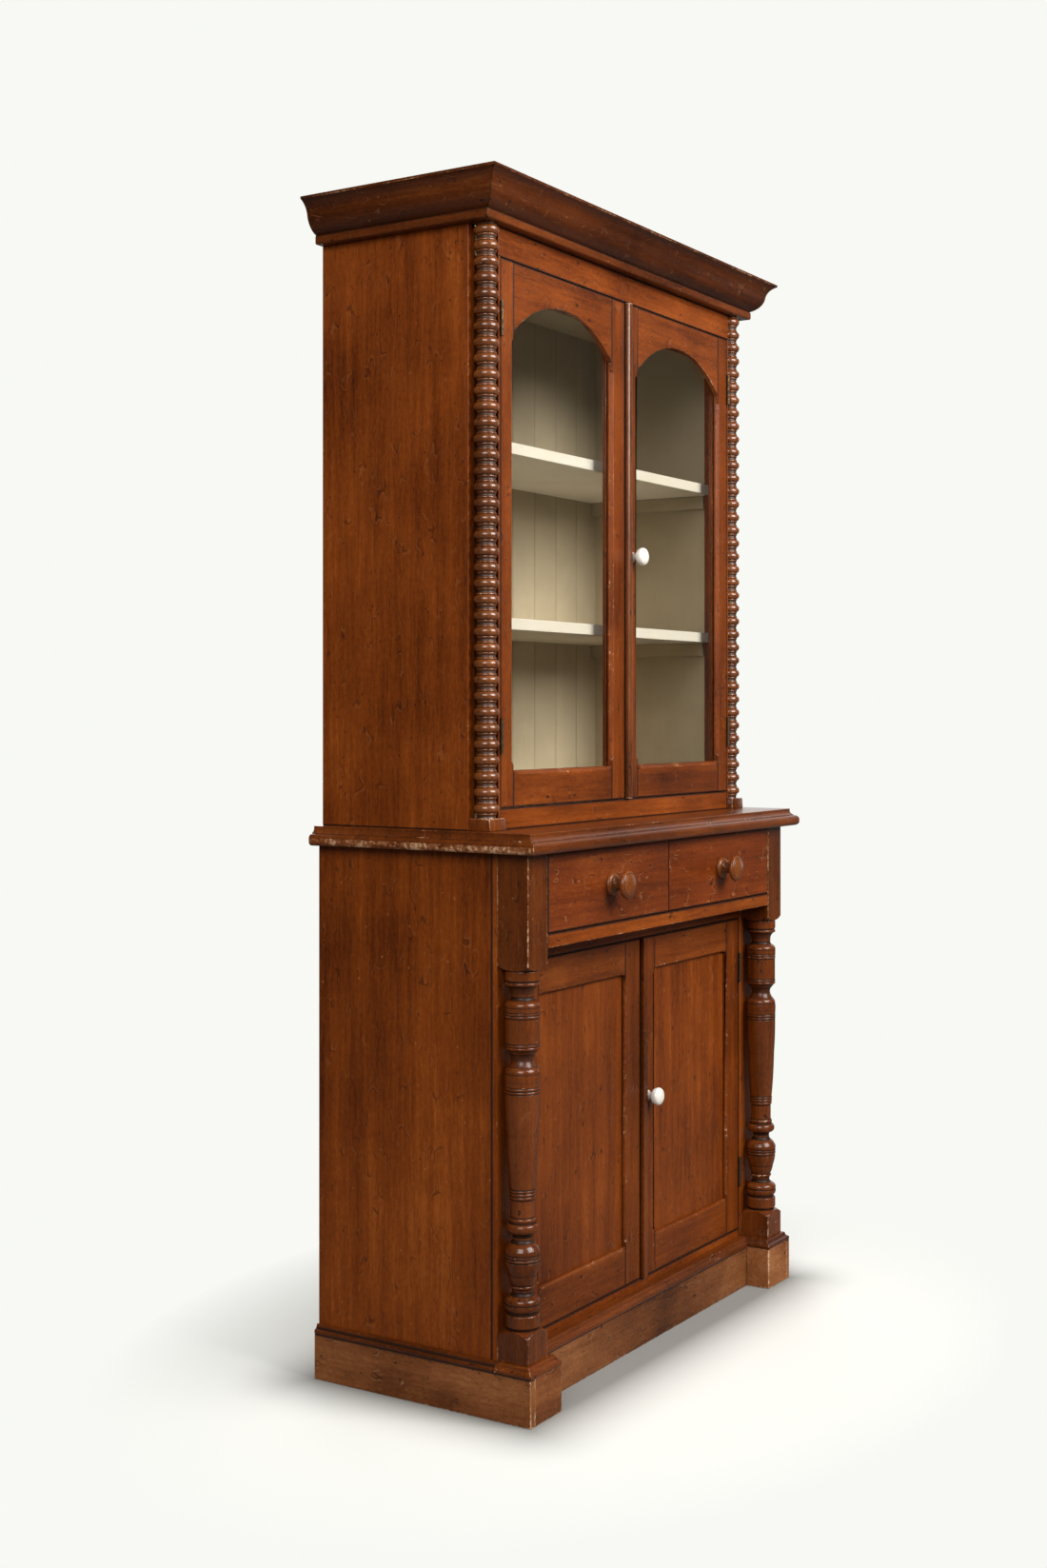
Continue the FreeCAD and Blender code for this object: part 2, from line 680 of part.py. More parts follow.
upper_bottom = notched("upper_bottom", "upper_door_half", "upper_frame_back", "upper_side_front",
                       ("upper_rail_top - side_board", "upper_rail_top"))
keep(upper_bottom)
keep(notched("upper_top", "column_inner", "upper_frame_back", "upper_side_front",
             ("column_top - side_board", "column_top")))
upper_back_boards = []
for index in range(int(sizes["upper_back_count"])):
    width = "2 * upper_inside / upper_back_count"
    upper_back_boards.append(board(
        f"upper_back_board_{index}",
        (f"-upper_inside + {width} * {index}", f"-upper_inside + {width} * {index + 1}"),
        ("back_inside", "back"),
        ("waist_top", "case_top"),
    ))
keep(group("upper_back_boards", upper_back_boards))
cleats = []
for name in ("low", "high"):
    keep(notched(f"{name}_shelf", "upper_door_half", "upper_face + upper_shelf_setback", "stile_web_back",
                 (f"{name}_shelf_top - shelf_board", f"{name}_shelf_top")))
    cleat = board(
        f"{name}_left_cleat", ("-upper_inside", "-upper_inside + cleat_width"),
        ("upper_face + upper_shelf_setback + cleat_width", "back_inside"),
        (f"{name}_shelf_top - shelf_board - cleat_height", f"{name}_shelf_top - shelf_board"))
    cleats += [cleat, mirrored(f"{name}_right_cleat", cleat)]
keep(group("upper_shelf_cleats", cleats))

# Front frame of the upper case
keep(board("upper_bottom_rail", ("-upper_door_half", "upper_door_half"), ("upper_face", "upper_frame_back"),
           ("waist_top", "upper_rail_top")))
keep(board("frieze_rail", ("-column_inner", "column_inner"), ("upper_face", "upper_frame_back"),
           ("frieze_low", "column_top")))
keep(board("cornice_rail", ("-upper_half", "upper_half"), ("upper_face", "upper_side_front"),
           ("column_top", "case_top")))
upper_stile = less(
    "upper_right_stile",
    joined("upper_stile_legs", [
        board("upper_stile_leg", ("upper_door_half", "column_inner"), ("upper_face", "upper_side_front"),
              ("block_top", "frieze_low")),
        board("upper_stile_web", ("upper_door_half", "upper_inside"),
              ("upper_side_front", "stile_web_back"), ("block_top", "frieze_low")),
    ]),
    [
        leaf_recess("upper_stile_top_housing", "upper_top", 1),
        leaf_recess("upper_stile_low_housing", "upper_low", 1),
        upper_bottom,
    ],
)
keep(group("upper_front_stiles", [upper_stile, mirrored("upper_left_stile", upper_stile)]))

# Bobbin columns: a string of beads on a flared block
# Each row is height over one pitch, radius over the bead's, and any bulge
bead_turning_shares = [
    (0.24, 0.75, -0.40), (0.25, 0.78), (0.31, 0.78), (0.33, 0.73), (0.89, 0.73, 0.78), (0.91, 0.78),
    (0.98, 0.78), (1.00, 0.75),
]
bead_pitch = "((column_top - block_top) / bead_count)"
bead_steps = [("0", "0"), (f"bead_diameter / 2 * {bead_turning_shares[-1][1]}", "0")]
for share in bead_turning_shares:
    bead_steps.append((f"bead_diameter / 2 * {share[1]}", f"{bead_pitch} * {share[0]}") + tuple(share[2:]))
bead_steps.append(("0", bead_pitch))
right_beads = turned("right_bead_string", "XZ_Plane", bead_steps,
                     "column_axis_x", "column_axis_y", "block_top")
bead_row = right_beads.newObject("PartDesign::LinearPattern", "bead_row")
bead_row.Originals = [right_beads.Tip]
bead_row.Direction = (origin_part(right_beads, "Z_Axis"), [""])
bead_row.Refine = False
bind(bead_row, "Length", f"column_top - block_top - {bead_pitch}")
bind(bead_row, "Occurrences", "bead_count")
right_beads.Tip = bead_row

block = doc.addObject("Part::Wedge", "right_column_block")
for prop, text in (
    ("Ymin", "0"), ("Ymax", "column_block_height"),
    ("Xmin", "upper_door_half"), ("Xmax", "upper_half"),
    ("X2min", "upper_door_half + column_block_flare"), ("X2max", "upper_half"),
    ("Zmin", "-upper_side_front"), ("Zmax", "-column_front"),
    ("Z2min", "-upper_side_front"), ("Z2max", "-column_front - column_block_flare / 2"),
):
    bind(block, prop, text)
block.Placement.Rotation = FreeCAD.Rotation(FreeCAD.Vector(1, 0, 0), 90)
put(block, "0", "0", "waist_top")
right_column = joined("right_bobbin_column", [right_beads, block])
keep(mirrored("left_bobbin_column", right_column), right_column)

# Cornice and the bed moulding under it
# Each row is outward share of the reach, height share, and any bulge, anticlockwise from the case
crown_shares = [
    (0.0, 0.0), (0.0, 0.6), (0.72, 1.0), (1.0, 1.0), (1.0, 0.93), (0.70, 0.55, -0.24),
    (0.31, 0.03, 0.28), (0.31, 0.0),
]
bed_shares = [(0.0, 0.0), (0.0, 1.0), (1.0, 1.0), (1.0, 0.2), (0.86, 0.0, 0.4)]
keep(mitred("cornice", crown_shares, "crown_reach", "crown_height", "upper_half", "upper_face", "crown_low"))
keep(mitred("bed_moulding", bed_shares, "bed_reach", "bed_height", "upper_half", "upper_face", "column_top"))


# Doors, built for the right-hand side and mirrored for the left
def upper_frame_pieces(side, knob_hole):
    """Stiles, rails and glazing beads of one glazed door."""
    face, rear = "upper_face", "upper_frame_back"
    seat = "upper_face + glass_setback"
    high = ("upper_door_low", "upper_door_high")
    rebate_low = "pane_low - glass_rebate"
    rebate_high = "arch_top + glass_rebate"
    rebate = board(f"{side}_pane_rebate",
                   ("upper_pane_start - glass_rebate", "upper_pane_end + glass_rebate"), (seat, rear),
                   (rebate_low, rebate_high))
    meeting_blank = board(f"{side}_upper_meeting_blank", ("door_start", "upper_pane_start"),
                          (face, rear), high)
    meeting = less(f"{side}_upper_meeting_stile", meeting_blank, [rebate] + knob_hole)
    hinge_blank = board(f"{side}_upper_hinge_blank", ("upper_pane_end", "upper_door_edge"),
                        (face, rear), high)
    hinge = less(f"{side}_upper_hinge_stile", hinge_blank, [
        rebate,
        leaf_recess(f"{side}_upper_door_top_housing", "upper_top", -1),
        leaf_recess(f"{side}_upper_door_low_housing", "upper_low", -1),
    ])
    low_rail = less(f"{side}_upper_low_rail", board(
        f"{side}_upper_low_blank", ("upper_pane_start", "upper_pane_end"), (face, rear),
        ("upper_door_low", "pane_low")), [rebate])
    arch_bend = "-2 * arch_rise / (upper_pane_end - upper_pane_start)"
    top_rail = less(f"{side}_upper_top_rail", extruded(
        f"{side}_upper_top_blank", "XZ_Plane",
        [("upper_pane_start", "arch_spring"), ("upper_pane_end", "arch_spring", arch_bend),
         ("upper_pane_end", "upper_door_high"), ("upper_pane_start", "upper_door_high")],
        "frame_board", "0", face, "0", True), [rebate])
    inner = (f"{seat} + glass_thickness", rear)
    strips = [
        board(f"{side}_meeting_strip", ("upper_pane_start - glass_rebate", "upper_pane_start"), inner,
              (rebate_low, rebate_high)),
        board(f"{side}_hinge_strip", ("upper_pane_end", "upper_pane_end + glass_rebate"), inner,
              (rebate_low, rebate_high)),
        board(f"{side}_low_strip", ("upper_pane_start", "upper_pane_end"), inner, (rebate_low, "pane_low")),
        board(f"{side}_top_strip", ("upper_pane_start", "upper_pane_end"), inner, ("arch_top", rebate_high)),
    ]
    return [meeting, hinge, low_rail, top_rail] + strips


def lower_frame_pieces(side, knob_hole):
    """Stiles and rails of one panelled door, grooved for the panel."""
    face, rear = "frame_face", "frame_back"
    high = ("lower_door_low", "lower_door_high")
    groove = board(
        f"{side}_panel_groove", ("lower_panel_start - panel_groove", "lower_panel_end + panel_groove"),
        ("frame_face + panel_setback", "frame_face + panel_setback + panel_thickness"),
        ("lower_panel_low - panel_groove", "lower_panel_high + panel_groove"))
    meeting = less(f"{side}_lower_meeting_stile", board(
        f"{side}_lower_meeting_blank", ("door_start", "lower_panel_start"), (face, rear), high),
        [groove] + knob_hole)
    hinge = less(f"{side}_lower_hinge_stile", board(
        f"{side}_lower_hinge_blank", ("lower_panel_end", "lower_door_edge"), (face, rear), high), [
        groove,
        leaf_recess(f"{side}_lower_door_top_housing", "lower_top", -1),
        leaf_recess(f"{side}_lower_door_low_housing", "lower_low", -1),
    ])
    low_rail = less(f"{side}_lower_low_rail", board(
        f"{side}_lower_low_blank", ("lower_panel_start", "lower_panel_end"), (face, rear),
        ("lower_door_low", "lower_panel_low")), [groove])
    top_rail = less(f"{side}_lower_top_rail", board(
        f"{side}_lower_top_blank", ("lower_panel_start", "lower_panel_end"), (face, rear),
        ("lower_panel_high", "lower_door_high")), [groove])
    return [meeting, hinge, low_rail, top_rail]


def level_rod(name, radius, y, x, z):
    """Round rod from front to back."""
    cylinder = doc.addObject("Part::Cylinder", name)
    bind(cylinder, "Radius", radius)
    bind(cylinder, "Height", f"({y[1]}) - ({y[0]})")
    cylinder.Placement.Rotation = FreeCAD.Rotation(FreeCAD.Vector(1, 0, 0), -90)
    return put(cylinder, x, y[0], z)


def spindle_hole(case, face, rear):
    return level_rod(f"{case}_spindle_hole", "spindle_diameter / 2 + running_clearance", (face, rear),
                     "turn_knob_x", f"{case}_knob_z")


upper_right_frame = group("upper_right_door_frame", upper_frame_pieces(
    "right", [spindle_hole("upper", "upper_face", "upper_frame_back")]))
upper_left_frame = mirrored(
    "upper_left_door_frame", group("plain_upper_frame", upper_frame_pieces("plain", [])))
lower_right_frame = group("lower_right_door_frame", lower_frame_pieces(
    "right", [spindle_hole("lower", "frame_face", "frame_back")]))
lower_left_frame = mirrored(
    "lower_left_door_frame", group("plain_lower_frame", lower_frame_pieces("plain", [])))
keep(upper_left_frame, upper_right_frame, lower_left_frame, lower_right_frame)

right_glass = board(
    "upper_right_glass", ("upper_pane_start - glass_rebate", "upper_pane_end + glass_rebate"),
    ("upper_face + glass_setback", "upper_face + glass_setback + glass_thickness"),
    ("pane_low - glass_rebate", "arch_top + glass_rebate"))
right_panel = board(
    "lower_right_panel", ("lower_panel_start - panel_groove", "lower_panel_end + panel_groove"),
    ("frame_face + panel_setback", "frame_face + panel_setback + panel_thickness"),
    ("lower_panel_low - panel_groove", "lower_panel_high + panel_groove"))
keep(mirrored("upper_left_glass", right_glass), right_glass)
keep(mirrored("lower_left_panel", right_panel), right_panel)


cover_round_share = 0.33
cover_bend_share = 0.4


def cover_bead(name, face, low, high):
    """Rounded strip along the meeting edge of a right-hand door."""
    edge = f"(cover_bead_thickness * {cover_round_share})"
    steps = [
        ("0", "0"), ("0", f"-cover_bead_thickness + {edge}"),
        (edge, "-cover_bead_thickness", cover_bend_share),
        (f"cover_bead_width - {edge}", "-cover_bead_thickness"),
        ("cover_bead_width", f"-cover_bead_thickness + {edge}", cover_bend_share),
        ("cover_bead_width", "0"),
    ]
    return extruded(name, "XY_Plane", steps, f"({high}) - ({low})", "door_start", face, low)


keep(cover_bead("upper_cover_bead", "upper_face", "upper_door_low", "upper_door_high"))
keep(cover_bead("lower_cover_bead", "frame_face", "lower_door_low", "lower_door_high"))

# Butt hinges: five knuckles, three on the case leaf with the pin and two on the door leaf
knuckle_count = 5
case_leaves = []
door_leaves = {"upper": [], "lower": []}
for hinge, (case, middle) in hinge_places.items():
    pin_x, pin_y, face = f"{case}_pin_x", f"{case}_pin_y", face_names[case]
    foot = f"(({middle}) - hinge_length / 2)"
    knuckle = f"(hinge_length / {knuckle_count})"
    leaf_depth = (f"{pin_y} + knuckle_radius + knuckle_clearance", f"{face} + hinge_leaf_width")
    for leaf, side, first_knuckle in (("case", 1, 0), ("door", -1, 1)):
        slots = range(first_knuckle, knuckle_count, 2)
        edges = [f"{pin_x} + {side} * hinge_leaf_gap / 2",
                 f"{pin_x} + {side} * (hinge_leaf_gap / 2 + hinge_leaf_thickness)"]
        across = tuple(edges) if side > 0 else tuple(reversed(edges))
        name = f"{hinge}_{leaf}"
        members = [board(f"{name}_plate", across, leaf_depth, (foot, f"{foot} + hinge_length"))]
        for slot in slots:
            level = (f"{foot} + {knuckle} * {slot} + knuckle_clearance / 2",
                     f"{foot} + {knuckle} * {slot + 1} - knuckle_clearance / 2")
            members.append(board(f"{name}_tab_{slot}", across, (pin_y, leaf_depth[0]), level))
            members.append(rod(f"{name}_knuckle_{slot}", "knuckle_radius", level, pin_x, pin_y))
        if leaf == "case":
            members.append(rod(f"{name}_pin", "hinge_pin_diameter / 2", (foot, f"{foot} + hinge_length"),
                               pin_x, pin_y))
            case_leaves.append(joined(f"{name}_leaf", members))
        else:
            bore = rod(f"{name}_bore", "hinge_pin_diameter / 2 + running_clearance",
                       (foot, f"{foot} + hinge_length"), pin_x, pin_y)
            door_leaves[case].append(less(f"{name}_leaf", joined(f"{name}_solid", members), [bore]))
keep(group("case_hinge_leaves", case_leaves + [mirrored(f"left_{leaf.Name}", leaf) for leaf in case_leaves]))
for case, leaves in door_leaves.items():
    right_leaves = group(f"{case}_right_hinge_leaves", leaves)
    keep(mirrored(f"{case}_left_hinge_leaves", right_leaves), right_leaves)

# Porcelain turn knobs: radius over the knob's, reach share, and any bulge
turn_knob_shares = [
    (0.0, 0.0), (0.60, 0.0), (0.60, 0.05), (0.50, 0.10, 0.3), (0.40, 0.28, -0.25), (0.62, 0.40, -0.2),
    (1.00, 0.66, 0.3), (0.72, 0.94, 0.4), (0.40, 0.985), (0.0, 1.0),
]
# Turned drawer knobs: the same three shares
drawer_knob_shares = [
    (0.0, 0.0), (0.82, 0.0), (0.84, 0.08, 0.3), (0.60, 0.20, 0.3), (0.40, 0.34, -0.25), (0.42, 0.48, -0.1),
    (0.90, 0.66, -0.3), (1.0, 0.74, 0.3), (0.98, 0.84, 0.3), (0.88, 0.90, 0.2), (0.84, 0.885), (0.80, 0.91),
    (0.55, 0.96), (0.28, 0.99), (0.0, 1.0),
]


def knob(name, shares, radius, reach, x, y, z):
    """Knob turned about a line from front to back, standing out towards the front."""
    steps = []
    for share in shares:
        steps.append((f"-({radius}) * {share[0]}", f"-({reach}) * {share[1]}") + tuple(share[2:]))
    return turned(name, "XY_Plane", steps, x, y, z)


for case, face, rear in (
        ("upper", "upper_face", "upper_frame_back"), ("lower", "frame_face", "frame_back")):
    keep(knob(f"{case}_turn_knob", turn_knob_shares, "turn_knob_diameter / 2", "turn_knob_reach",
              "turn_knob_x", face, f"{case}_knob_z"))
    plate = (f"{rear} + catch_clearance", f"{rear} + catch_clearance + catch_thickness")
    keep(joined(f"{case}_catch", [
        level_rod(f"{case}_spindle", "spindle_diameter / 2", (face, plate[1]),
                  "turn_knob_x", f"{case}_knob_z"),
        level_rod(f"{case}_catch_hub", "catch_width / 2", plate, "turn_knob_x", f"{case}_knob_z"),
        board(f"{case}_catch_tongue",
              ("turn_knob_x - catch_width / 2", "turn_knob_x + catch_width / 2"), plate,
              (f"{case}_knob_z - catch_length", f"{case}_knob_z")),
    ]))

# Drawers, built for the right-hand side and mirrored for the left
right_front = board("right_drawer_front", ("drawer_start", "drawer_end"),
                    ("post_face", "post_face + drawer_front"), ("drawer_low", "drawer_high"))
box_depth = ("post_face + drawer_front", "drawer_back")
box_high = ("drawer_floor + drawer_run", "drawer_high - drawer_side_drop")
inner_side = board("drawer_inner_side", ("box_start", "box_start + drawer_board"), box_depth, box_high)
outer_side = board("drawer_outer_side", ("box_end - drawer_board", "box_end"), box_depth, box_high)
box_inside = ("box_start + drawer_board", "box_end - drawer_board")
drawer_bottom = board(
    "drawer_bottom_board", box_inside, ("post_face + drawer_front", "drawer_back - drawer_board"),
    ("drawer_floor + drawer_bottom_rise", "drawer_floor + drawer_bottom_rise + drawer_bottom"))
box_back = board("drawer_back_board", box_inside, ("drawer_back - drawer_board", "drawer_back"), box_high)
right_box = group("right_drawer_box", [inner_side, outer_side, drawer_bottom, box_back])
right_knob = knob("right_drawer_knob", drawer_knob_shares, "drawer_knob_diameter / 2", "drawer_knob_reach",
                  "drawer_middle", "post_face", "drawer_knob_z")
keep(mirrored("left_drawer_front", right_front), mirrored("left_drawer_box", right_box),
     mirrored("left_drawer_knob", right_knob), right_front, right_box, right_knob)

# Build, check and export
doc.recompute()
faults = []
for thing in doc.Objects:
    if "Invalid" in thing.State or "Error" in thing.State:
        faults.append(f"{thing.Name}: {thing.State}")
for node in nodes:
    if node.Shape.isNull() or not node.Shape.isValid() or not node.Shape.Solids:
        faults.append(f"{node.Name}: bad shape")
if faults:
    raise RuntimeError("\n".join(faults))

os.makedirs("parts", exist_ok=True)
for node in nodes:
    node.Shape.exportStep(f"parts/{node.Label}.step")
    print(f"{node.Label}: {len(node.Shape.Solids)} solids, {node.Shape.Volume / 1e6:.3f} litres")
print(len(nodes), "nodes")
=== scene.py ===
import json
import math
import random

import bmesh
import bpy
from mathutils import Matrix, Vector
from mathutils.bvhtree import BVHTree


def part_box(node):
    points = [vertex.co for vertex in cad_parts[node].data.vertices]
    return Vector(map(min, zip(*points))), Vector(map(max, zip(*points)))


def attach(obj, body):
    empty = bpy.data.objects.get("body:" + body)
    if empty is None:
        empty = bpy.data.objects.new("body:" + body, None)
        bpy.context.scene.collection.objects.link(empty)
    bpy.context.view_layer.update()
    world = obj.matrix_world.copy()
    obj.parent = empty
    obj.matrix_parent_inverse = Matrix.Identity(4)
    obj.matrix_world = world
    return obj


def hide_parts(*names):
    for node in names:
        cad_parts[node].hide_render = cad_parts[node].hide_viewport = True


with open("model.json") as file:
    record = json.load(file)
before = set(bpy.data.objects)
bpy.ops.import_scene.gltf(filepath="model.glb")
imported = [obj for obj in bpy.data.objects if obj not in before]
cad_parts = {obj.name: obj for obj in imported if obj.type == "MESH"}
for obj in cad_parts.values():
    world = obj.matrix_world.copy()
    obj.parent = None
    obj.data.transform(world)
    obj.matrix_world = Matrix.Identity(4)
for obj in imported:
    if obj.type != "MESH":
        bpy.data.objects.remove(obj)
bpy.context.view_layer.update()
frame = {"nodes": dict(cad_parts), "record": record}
nodes = frame["nodes"]
record = frame["record"]
bodyOf = {node: body for body, names in record["behaviour"]["bodies"].items() for node in names}
boardSeeds = random.Random(7)  # each board's own number, so that no two look alike
print("frame loaded:", len(nodes), "nodes")

axes = ("across", "deep", "up")
boardShift = (3.1, 1.7, 5.3)
spotFirmness = 2.5


class Varying:
    # a number or colour that changes over a surface
    def __init__(self, finish, socket):
        self.finish = finish
        self.socket = socket

    def sum(self, operation, first, second):
        return self.finish.add("ShaderNodeMath", {"operation": operation}, {0: first, 1: second})

    def __add__(self, other):
        return self.sum("ADD", self, other)

    def __radd__(self, other):
        return self.sum("ADD", other, self)

    def __sub__(self, other):
        return self.sum("SUBTRACT", self, other)

    def __rsub__(self, other):
        return self.sum("SUBTRACT", other, self)

    def __mul__(self, other):
        return self.sum("MULTIPLY", self, other)

    def above(self, level):
        return self.sum("GREATER_THAN", self, level)

    def size(self):
        return self.sum("ABSOLUTE", self, 0.0)

    def held(self):
        # kept between nothing and one
        return self.finish.add("ShaderNodeClamp", {}, {"Value": self})


class Finish:
    # the nodes of a material or a world
    def __init__(self, name, kind="Material"):
        self.owner = bpy.data.worlds.new(name) if kind == "World" else bpy.data.materials.new(name)
        self.owner.use_nodes = True
        self.tree = self.owner.node_tree
        self.tree.nodes.clear()
        self.last = "ShaderNodeOutput" + kind

    def add(self, kind, settings, sockets, output=0):
        node = self.tree.nodes.new(kind)
        for key, value in settings.items():
            if key == "stops":
                while len(node.color_ramp.elements) < len(value):
                    node.color_ramp.elements.new(1.0)
                for element, (level, colour) in zip(node.color_ramp.elements, value):
                    element.position = level
                    element.color = (*colour, 1.0)
            else:
                setattr(node, key, value)
        for key, value in sockets.items():
            if isinstance(value, Varying):
                self.tree.links.new(value.socket, node.inputs[key])
            else:
                node.inputs[key].default_value = value
        return Varying(self, node.outputs[output])

    def mix(self, factor, first, second):
        first = first if isinstance(first, Varying) else (*first, 1.0)
        second = second if isinstance(second, Varying) else (*second, 1.0)
        return self.add("ShaderNodeMix", {"data_type": "RGBA"}, {0: factor, 6: first, 7: second}, 2)

    def stretched(self, place, grain, share):
        # draws a figure out along one axis
        stretch = tuple(share if axis == grain else 1.0 for axis in axes)
        return self.add("ShaderNodeVectorMath", {"operation": "MULTIPLY"}, {0: place, 1: stretch})

    def noise(self, place, scale, detail=2.0, roughness=0.5, distortion=0.0):
        # about zero, between a half either way
        return self.add("ShaderNodeTexNoise", {}, {
            "Vector": place, "Scale": scale, "Detail": detail, "Roughness": roughness,
            "Distortion": distortion}) - 0.5

    def spots(self, place, scale, size, share, raggedness=0.0):
        # soft round marks, in a share of the cells
        distance = self.add("ShaderNodeTexVoronoi", {}, {"Vector": place, "Scale": scale}, "Distance")
        pick = self.add("ShaderNodeTexVoronoi", {}, {"Vector": place, "Scale": scale}, "Color")
        pick = self.add("ShaderNodeSeparateColor", {}, {0: pick})
        return ((size + raggedness - distance) * (spotFirmness / size)).held() * pick.above(1.0 - share)

    def attribute(self, name):
        return self.add("ShaderNodeAttribute", {"attribute_name": name}, {}, "Fac")

    def here(self):
        return self.add("ShaderNodeTexCoord", {}, {}, "Object")

    def place(self):
        # object coordinates, shifted by each board's own number
        board = self.attribute("board")
        shift = {axis: board * step for axis, step in enumerate(boardShift)}
        shift = self.add("ShaderNodeCombineXYZ", {}, shift)
        return self.add("ShaderNodeVectorMath", {"operation": "ADD"}, {0: self.here(), 1: shift})

    def coordinate(self, place, axis):
        return self.add("ShaderNodeSeparateXYZ", {}, {0: place}, axis)

    def length(self, vector):
        return self.add("ShaderNodeVectorMath", {"operation": "LENGTH"}, {0: vector}, "Value")

    def ray(self, kind):
        return self.add("ShaderNodeLightPath", {}, {}, "Is " + kind + " Ray")

    def bump(self, height, strength, distance):
        return self.add("ShaderNodeBump", {}, {"Strength": strength, "Distance": distance, "Height": height})

    def done(self, shader):
        output = self.tree.nodes.new(self.last)
        self.tree.links.new(shader.socket, output.inputs["Surface"])
        return self.owner

    def principled(self, sockets):
        return self.done(self.add("ShaderNodeBsdfPrincipled", {}, sockets))


stainLevels = (0.14, 0.38, 0.62, 0.88)
stain = {
    "tones": [(0.047, 0.0088, 0.0009), (0.121, 0.0236, 0.0019),
              (0.203, 0.0430, 0.0037), (0.322, 0.0815, 0.0104)],
    "markColour": (0.020, 0.006, 0.003), "dentColour": (0.38, 0.16, 0.06),
    "wornColour": (0.34, 0.112, 0.032), "bareColour": (0.56, 0.37, 0.21), "dirtColour": (0.016, 0.006, 0.003),
    "roughness": 0.37, "specular": 0.19, "coat": 0.05, "coatRoughness": 0.15, "streaks": 1.08, "clouds": 0.76,
    "scars": 0.28,
}
turnedStain = {
    "tones": [(0.029, 0.0058, 0.0008), (0.074, 0.0158, 0.0018),
              (0.134, 0.0300, 0.0036), (0.215, 0.0600, 0.0095)],
    "markColour": (0.016, 0.005, 0.003), "dentColour": (0.34, 0.15, 0.06),
    "wornColour": (0.30, 0.115, 0.045), "bareColour": (0.52, 0.33, 0.19), "dirtColour": (0.015, 0.005, 0.002),
    "roughness": 0.30, "specular": 0.24, "coat": 0.36, "coatRoughness": 0.11, "streaks": 0.9, "clouds": 0.8,
    "scars": 0.2,
}
# the pale worn and bare colours on the bead crests are wear with a painted highlight
beadStain = {
    **turnedStain, "tones": [(0.044, 0.0104, 0.0017), (0.106, 0.0270, 0.0042),
                             (0.185, 0.0520, 0.0086), (0.295, 0.1000, 0.0210)],
    "wornColour": (0.46, 0.200, 0.080), "bareColour": (0.66, 0.50, 0.33), "specular": 0.40, "coat": 0.72,
    "coatRoughness": 0.19, "scars": 0.0, "dirtColour": (0.032, 0.0105, 0.0035),
}
knobStain = {
    **turnedStain, "tones": [(0.042, 0.0096, 0.0017), (0.098, 0.0240, 0.0045),
                             (0.172, 0.0470, 0.0100), (0.260, 0.0850, 0.0220)],
    "specular": 0.22, "coat": 0.24, "coatRoughness": 0.16, "scars": 0.0, "dirtColour": (0.036, 0.0110, 0.0035),
}
# painted shade: the cornice takes darker tones than the other turned wood, for the shade under its overhang
crownShadedStain = {
    **turnedStain, "tones": [(0.016, 0.0030, 0.0004), (0.041, 0.0083, 0.0009),
                             (0.081, 0.0172, 0.0021), (0.146, 0.0390, 0.0060)],
    "scars": 0.34, "dirtColour": (0.014, 0.0042, 0.0012), "coat": 0.34, "coatRoughness": 0.16,
}
drawerStain = {
    **stain, "tones": [(0.040, 0.0064, 0.0007), (0.098, 0.0164, 0.0014),
                       (0.176, 0.0315, 0.0028), (0.300, 0.0670, 0.0088)],
    "scars": 0.9,
}
scuffedStain = {
    "tones": [(0.060, 0.0164, 0.0038), (0.152, 0.0450, 0.0112),
              (0.256, 0.0880, 0.0265), (0.400, 0.1720, 0.0660)],
    "markColour": (0.018, 0.006, 0.003), "dentColour": (0.36, 0.20, 0.10),
    "wornColour": (0.40, 0.200, 0.090), "bareColour": (0.62, 0.45, 0.29), "dirtColour": (0.012, 0.005, 0.003),
    "roughness": 0.44, "specular": 0.28, "coat": 0.0, "coatRoughness": 0.2, "streaks": 0.72, "clouds": 1.4,
    "scars": 0.5,
}

figure = {
    "grainLength": 0.055, "markLength": 0.5, "dentLength": 0.7,
    # the scale, detail, roughness and distortion of each noise
    "broad": (3.2, 3.0, 0.55, 0.4), "bands": (26.0, 3.0, 0.55, 0.3), "streaks": (120.0, 4.0, 0.65, 0.2),
    "pores": (520.0, 2.0, 0.6), "mottle": (210.0, 3.0, 0.6), "ragged": (260.0, 2.0), "curl": (44.0, 1.0),
    "bruise": (30.0, 2.0), "patches": (15.0, 3.0, 0.6), "rub": (130.0, 3.0, 0.65),
    "bandTone": 0.62, "streakTone": 0.46, "poreTone": 0.28, "mottleTone": 0.40, "boardTone": 0.07,
    # the scale, size and share of each kind of spot, and how ragged its outline is
    "marks": (42.0, 0.13, 0.46), "grubs": (90.0, 0.13, 0.28), "dents": (58.0, 0.09, 0.20),
    "markRag": 0.30, "grubRag": 0.24, "dentRag": 0.26,
    "bruiseFrom": 0.04, "bruiseGain": 9.0, "curlHalf": 0.024, "curlGap": 0.052, "curlGain": 60.0,
    "darkCurls": 0.62, "markShare": 0.90, "dentShare": 0.55, "wornAndHighlightShare": 0.72, "bareShare": 0.85,
    "soilAndShadeGain": 1.6, "soilAndShadeShare": 0.92, "coatLost": 0.85,
    "poreDull": 0.10, "broadDull": 0.16, "wornDull": 0.14, "soilAndShadeDull": 0.20,
    "streakHigh": 0.4, "poreHigh": 0.3, "bandHigh": 0.8, "markDeep": 0.5, "dentDeep": 0.3,
    "bump": (0.30, 0.0012),
}
# painted highlight: the always share lightens every worn edge evenly, for the shine along the arrises
wornThroughAndHighlight = {
    "wear": 0.9, "patches": 1.9, "rub": 1.9, "from": 0.72, "gain": 2.8, "always": 0.22, "fadeIn": 6.0,
}
rubbedBare = {
    "wear": 0.9, "patches": 2.4, "rub": 2.9, "from": 1.08, "gain": 4.0, "always": 0.0, "fadeIn": 6.0,
}


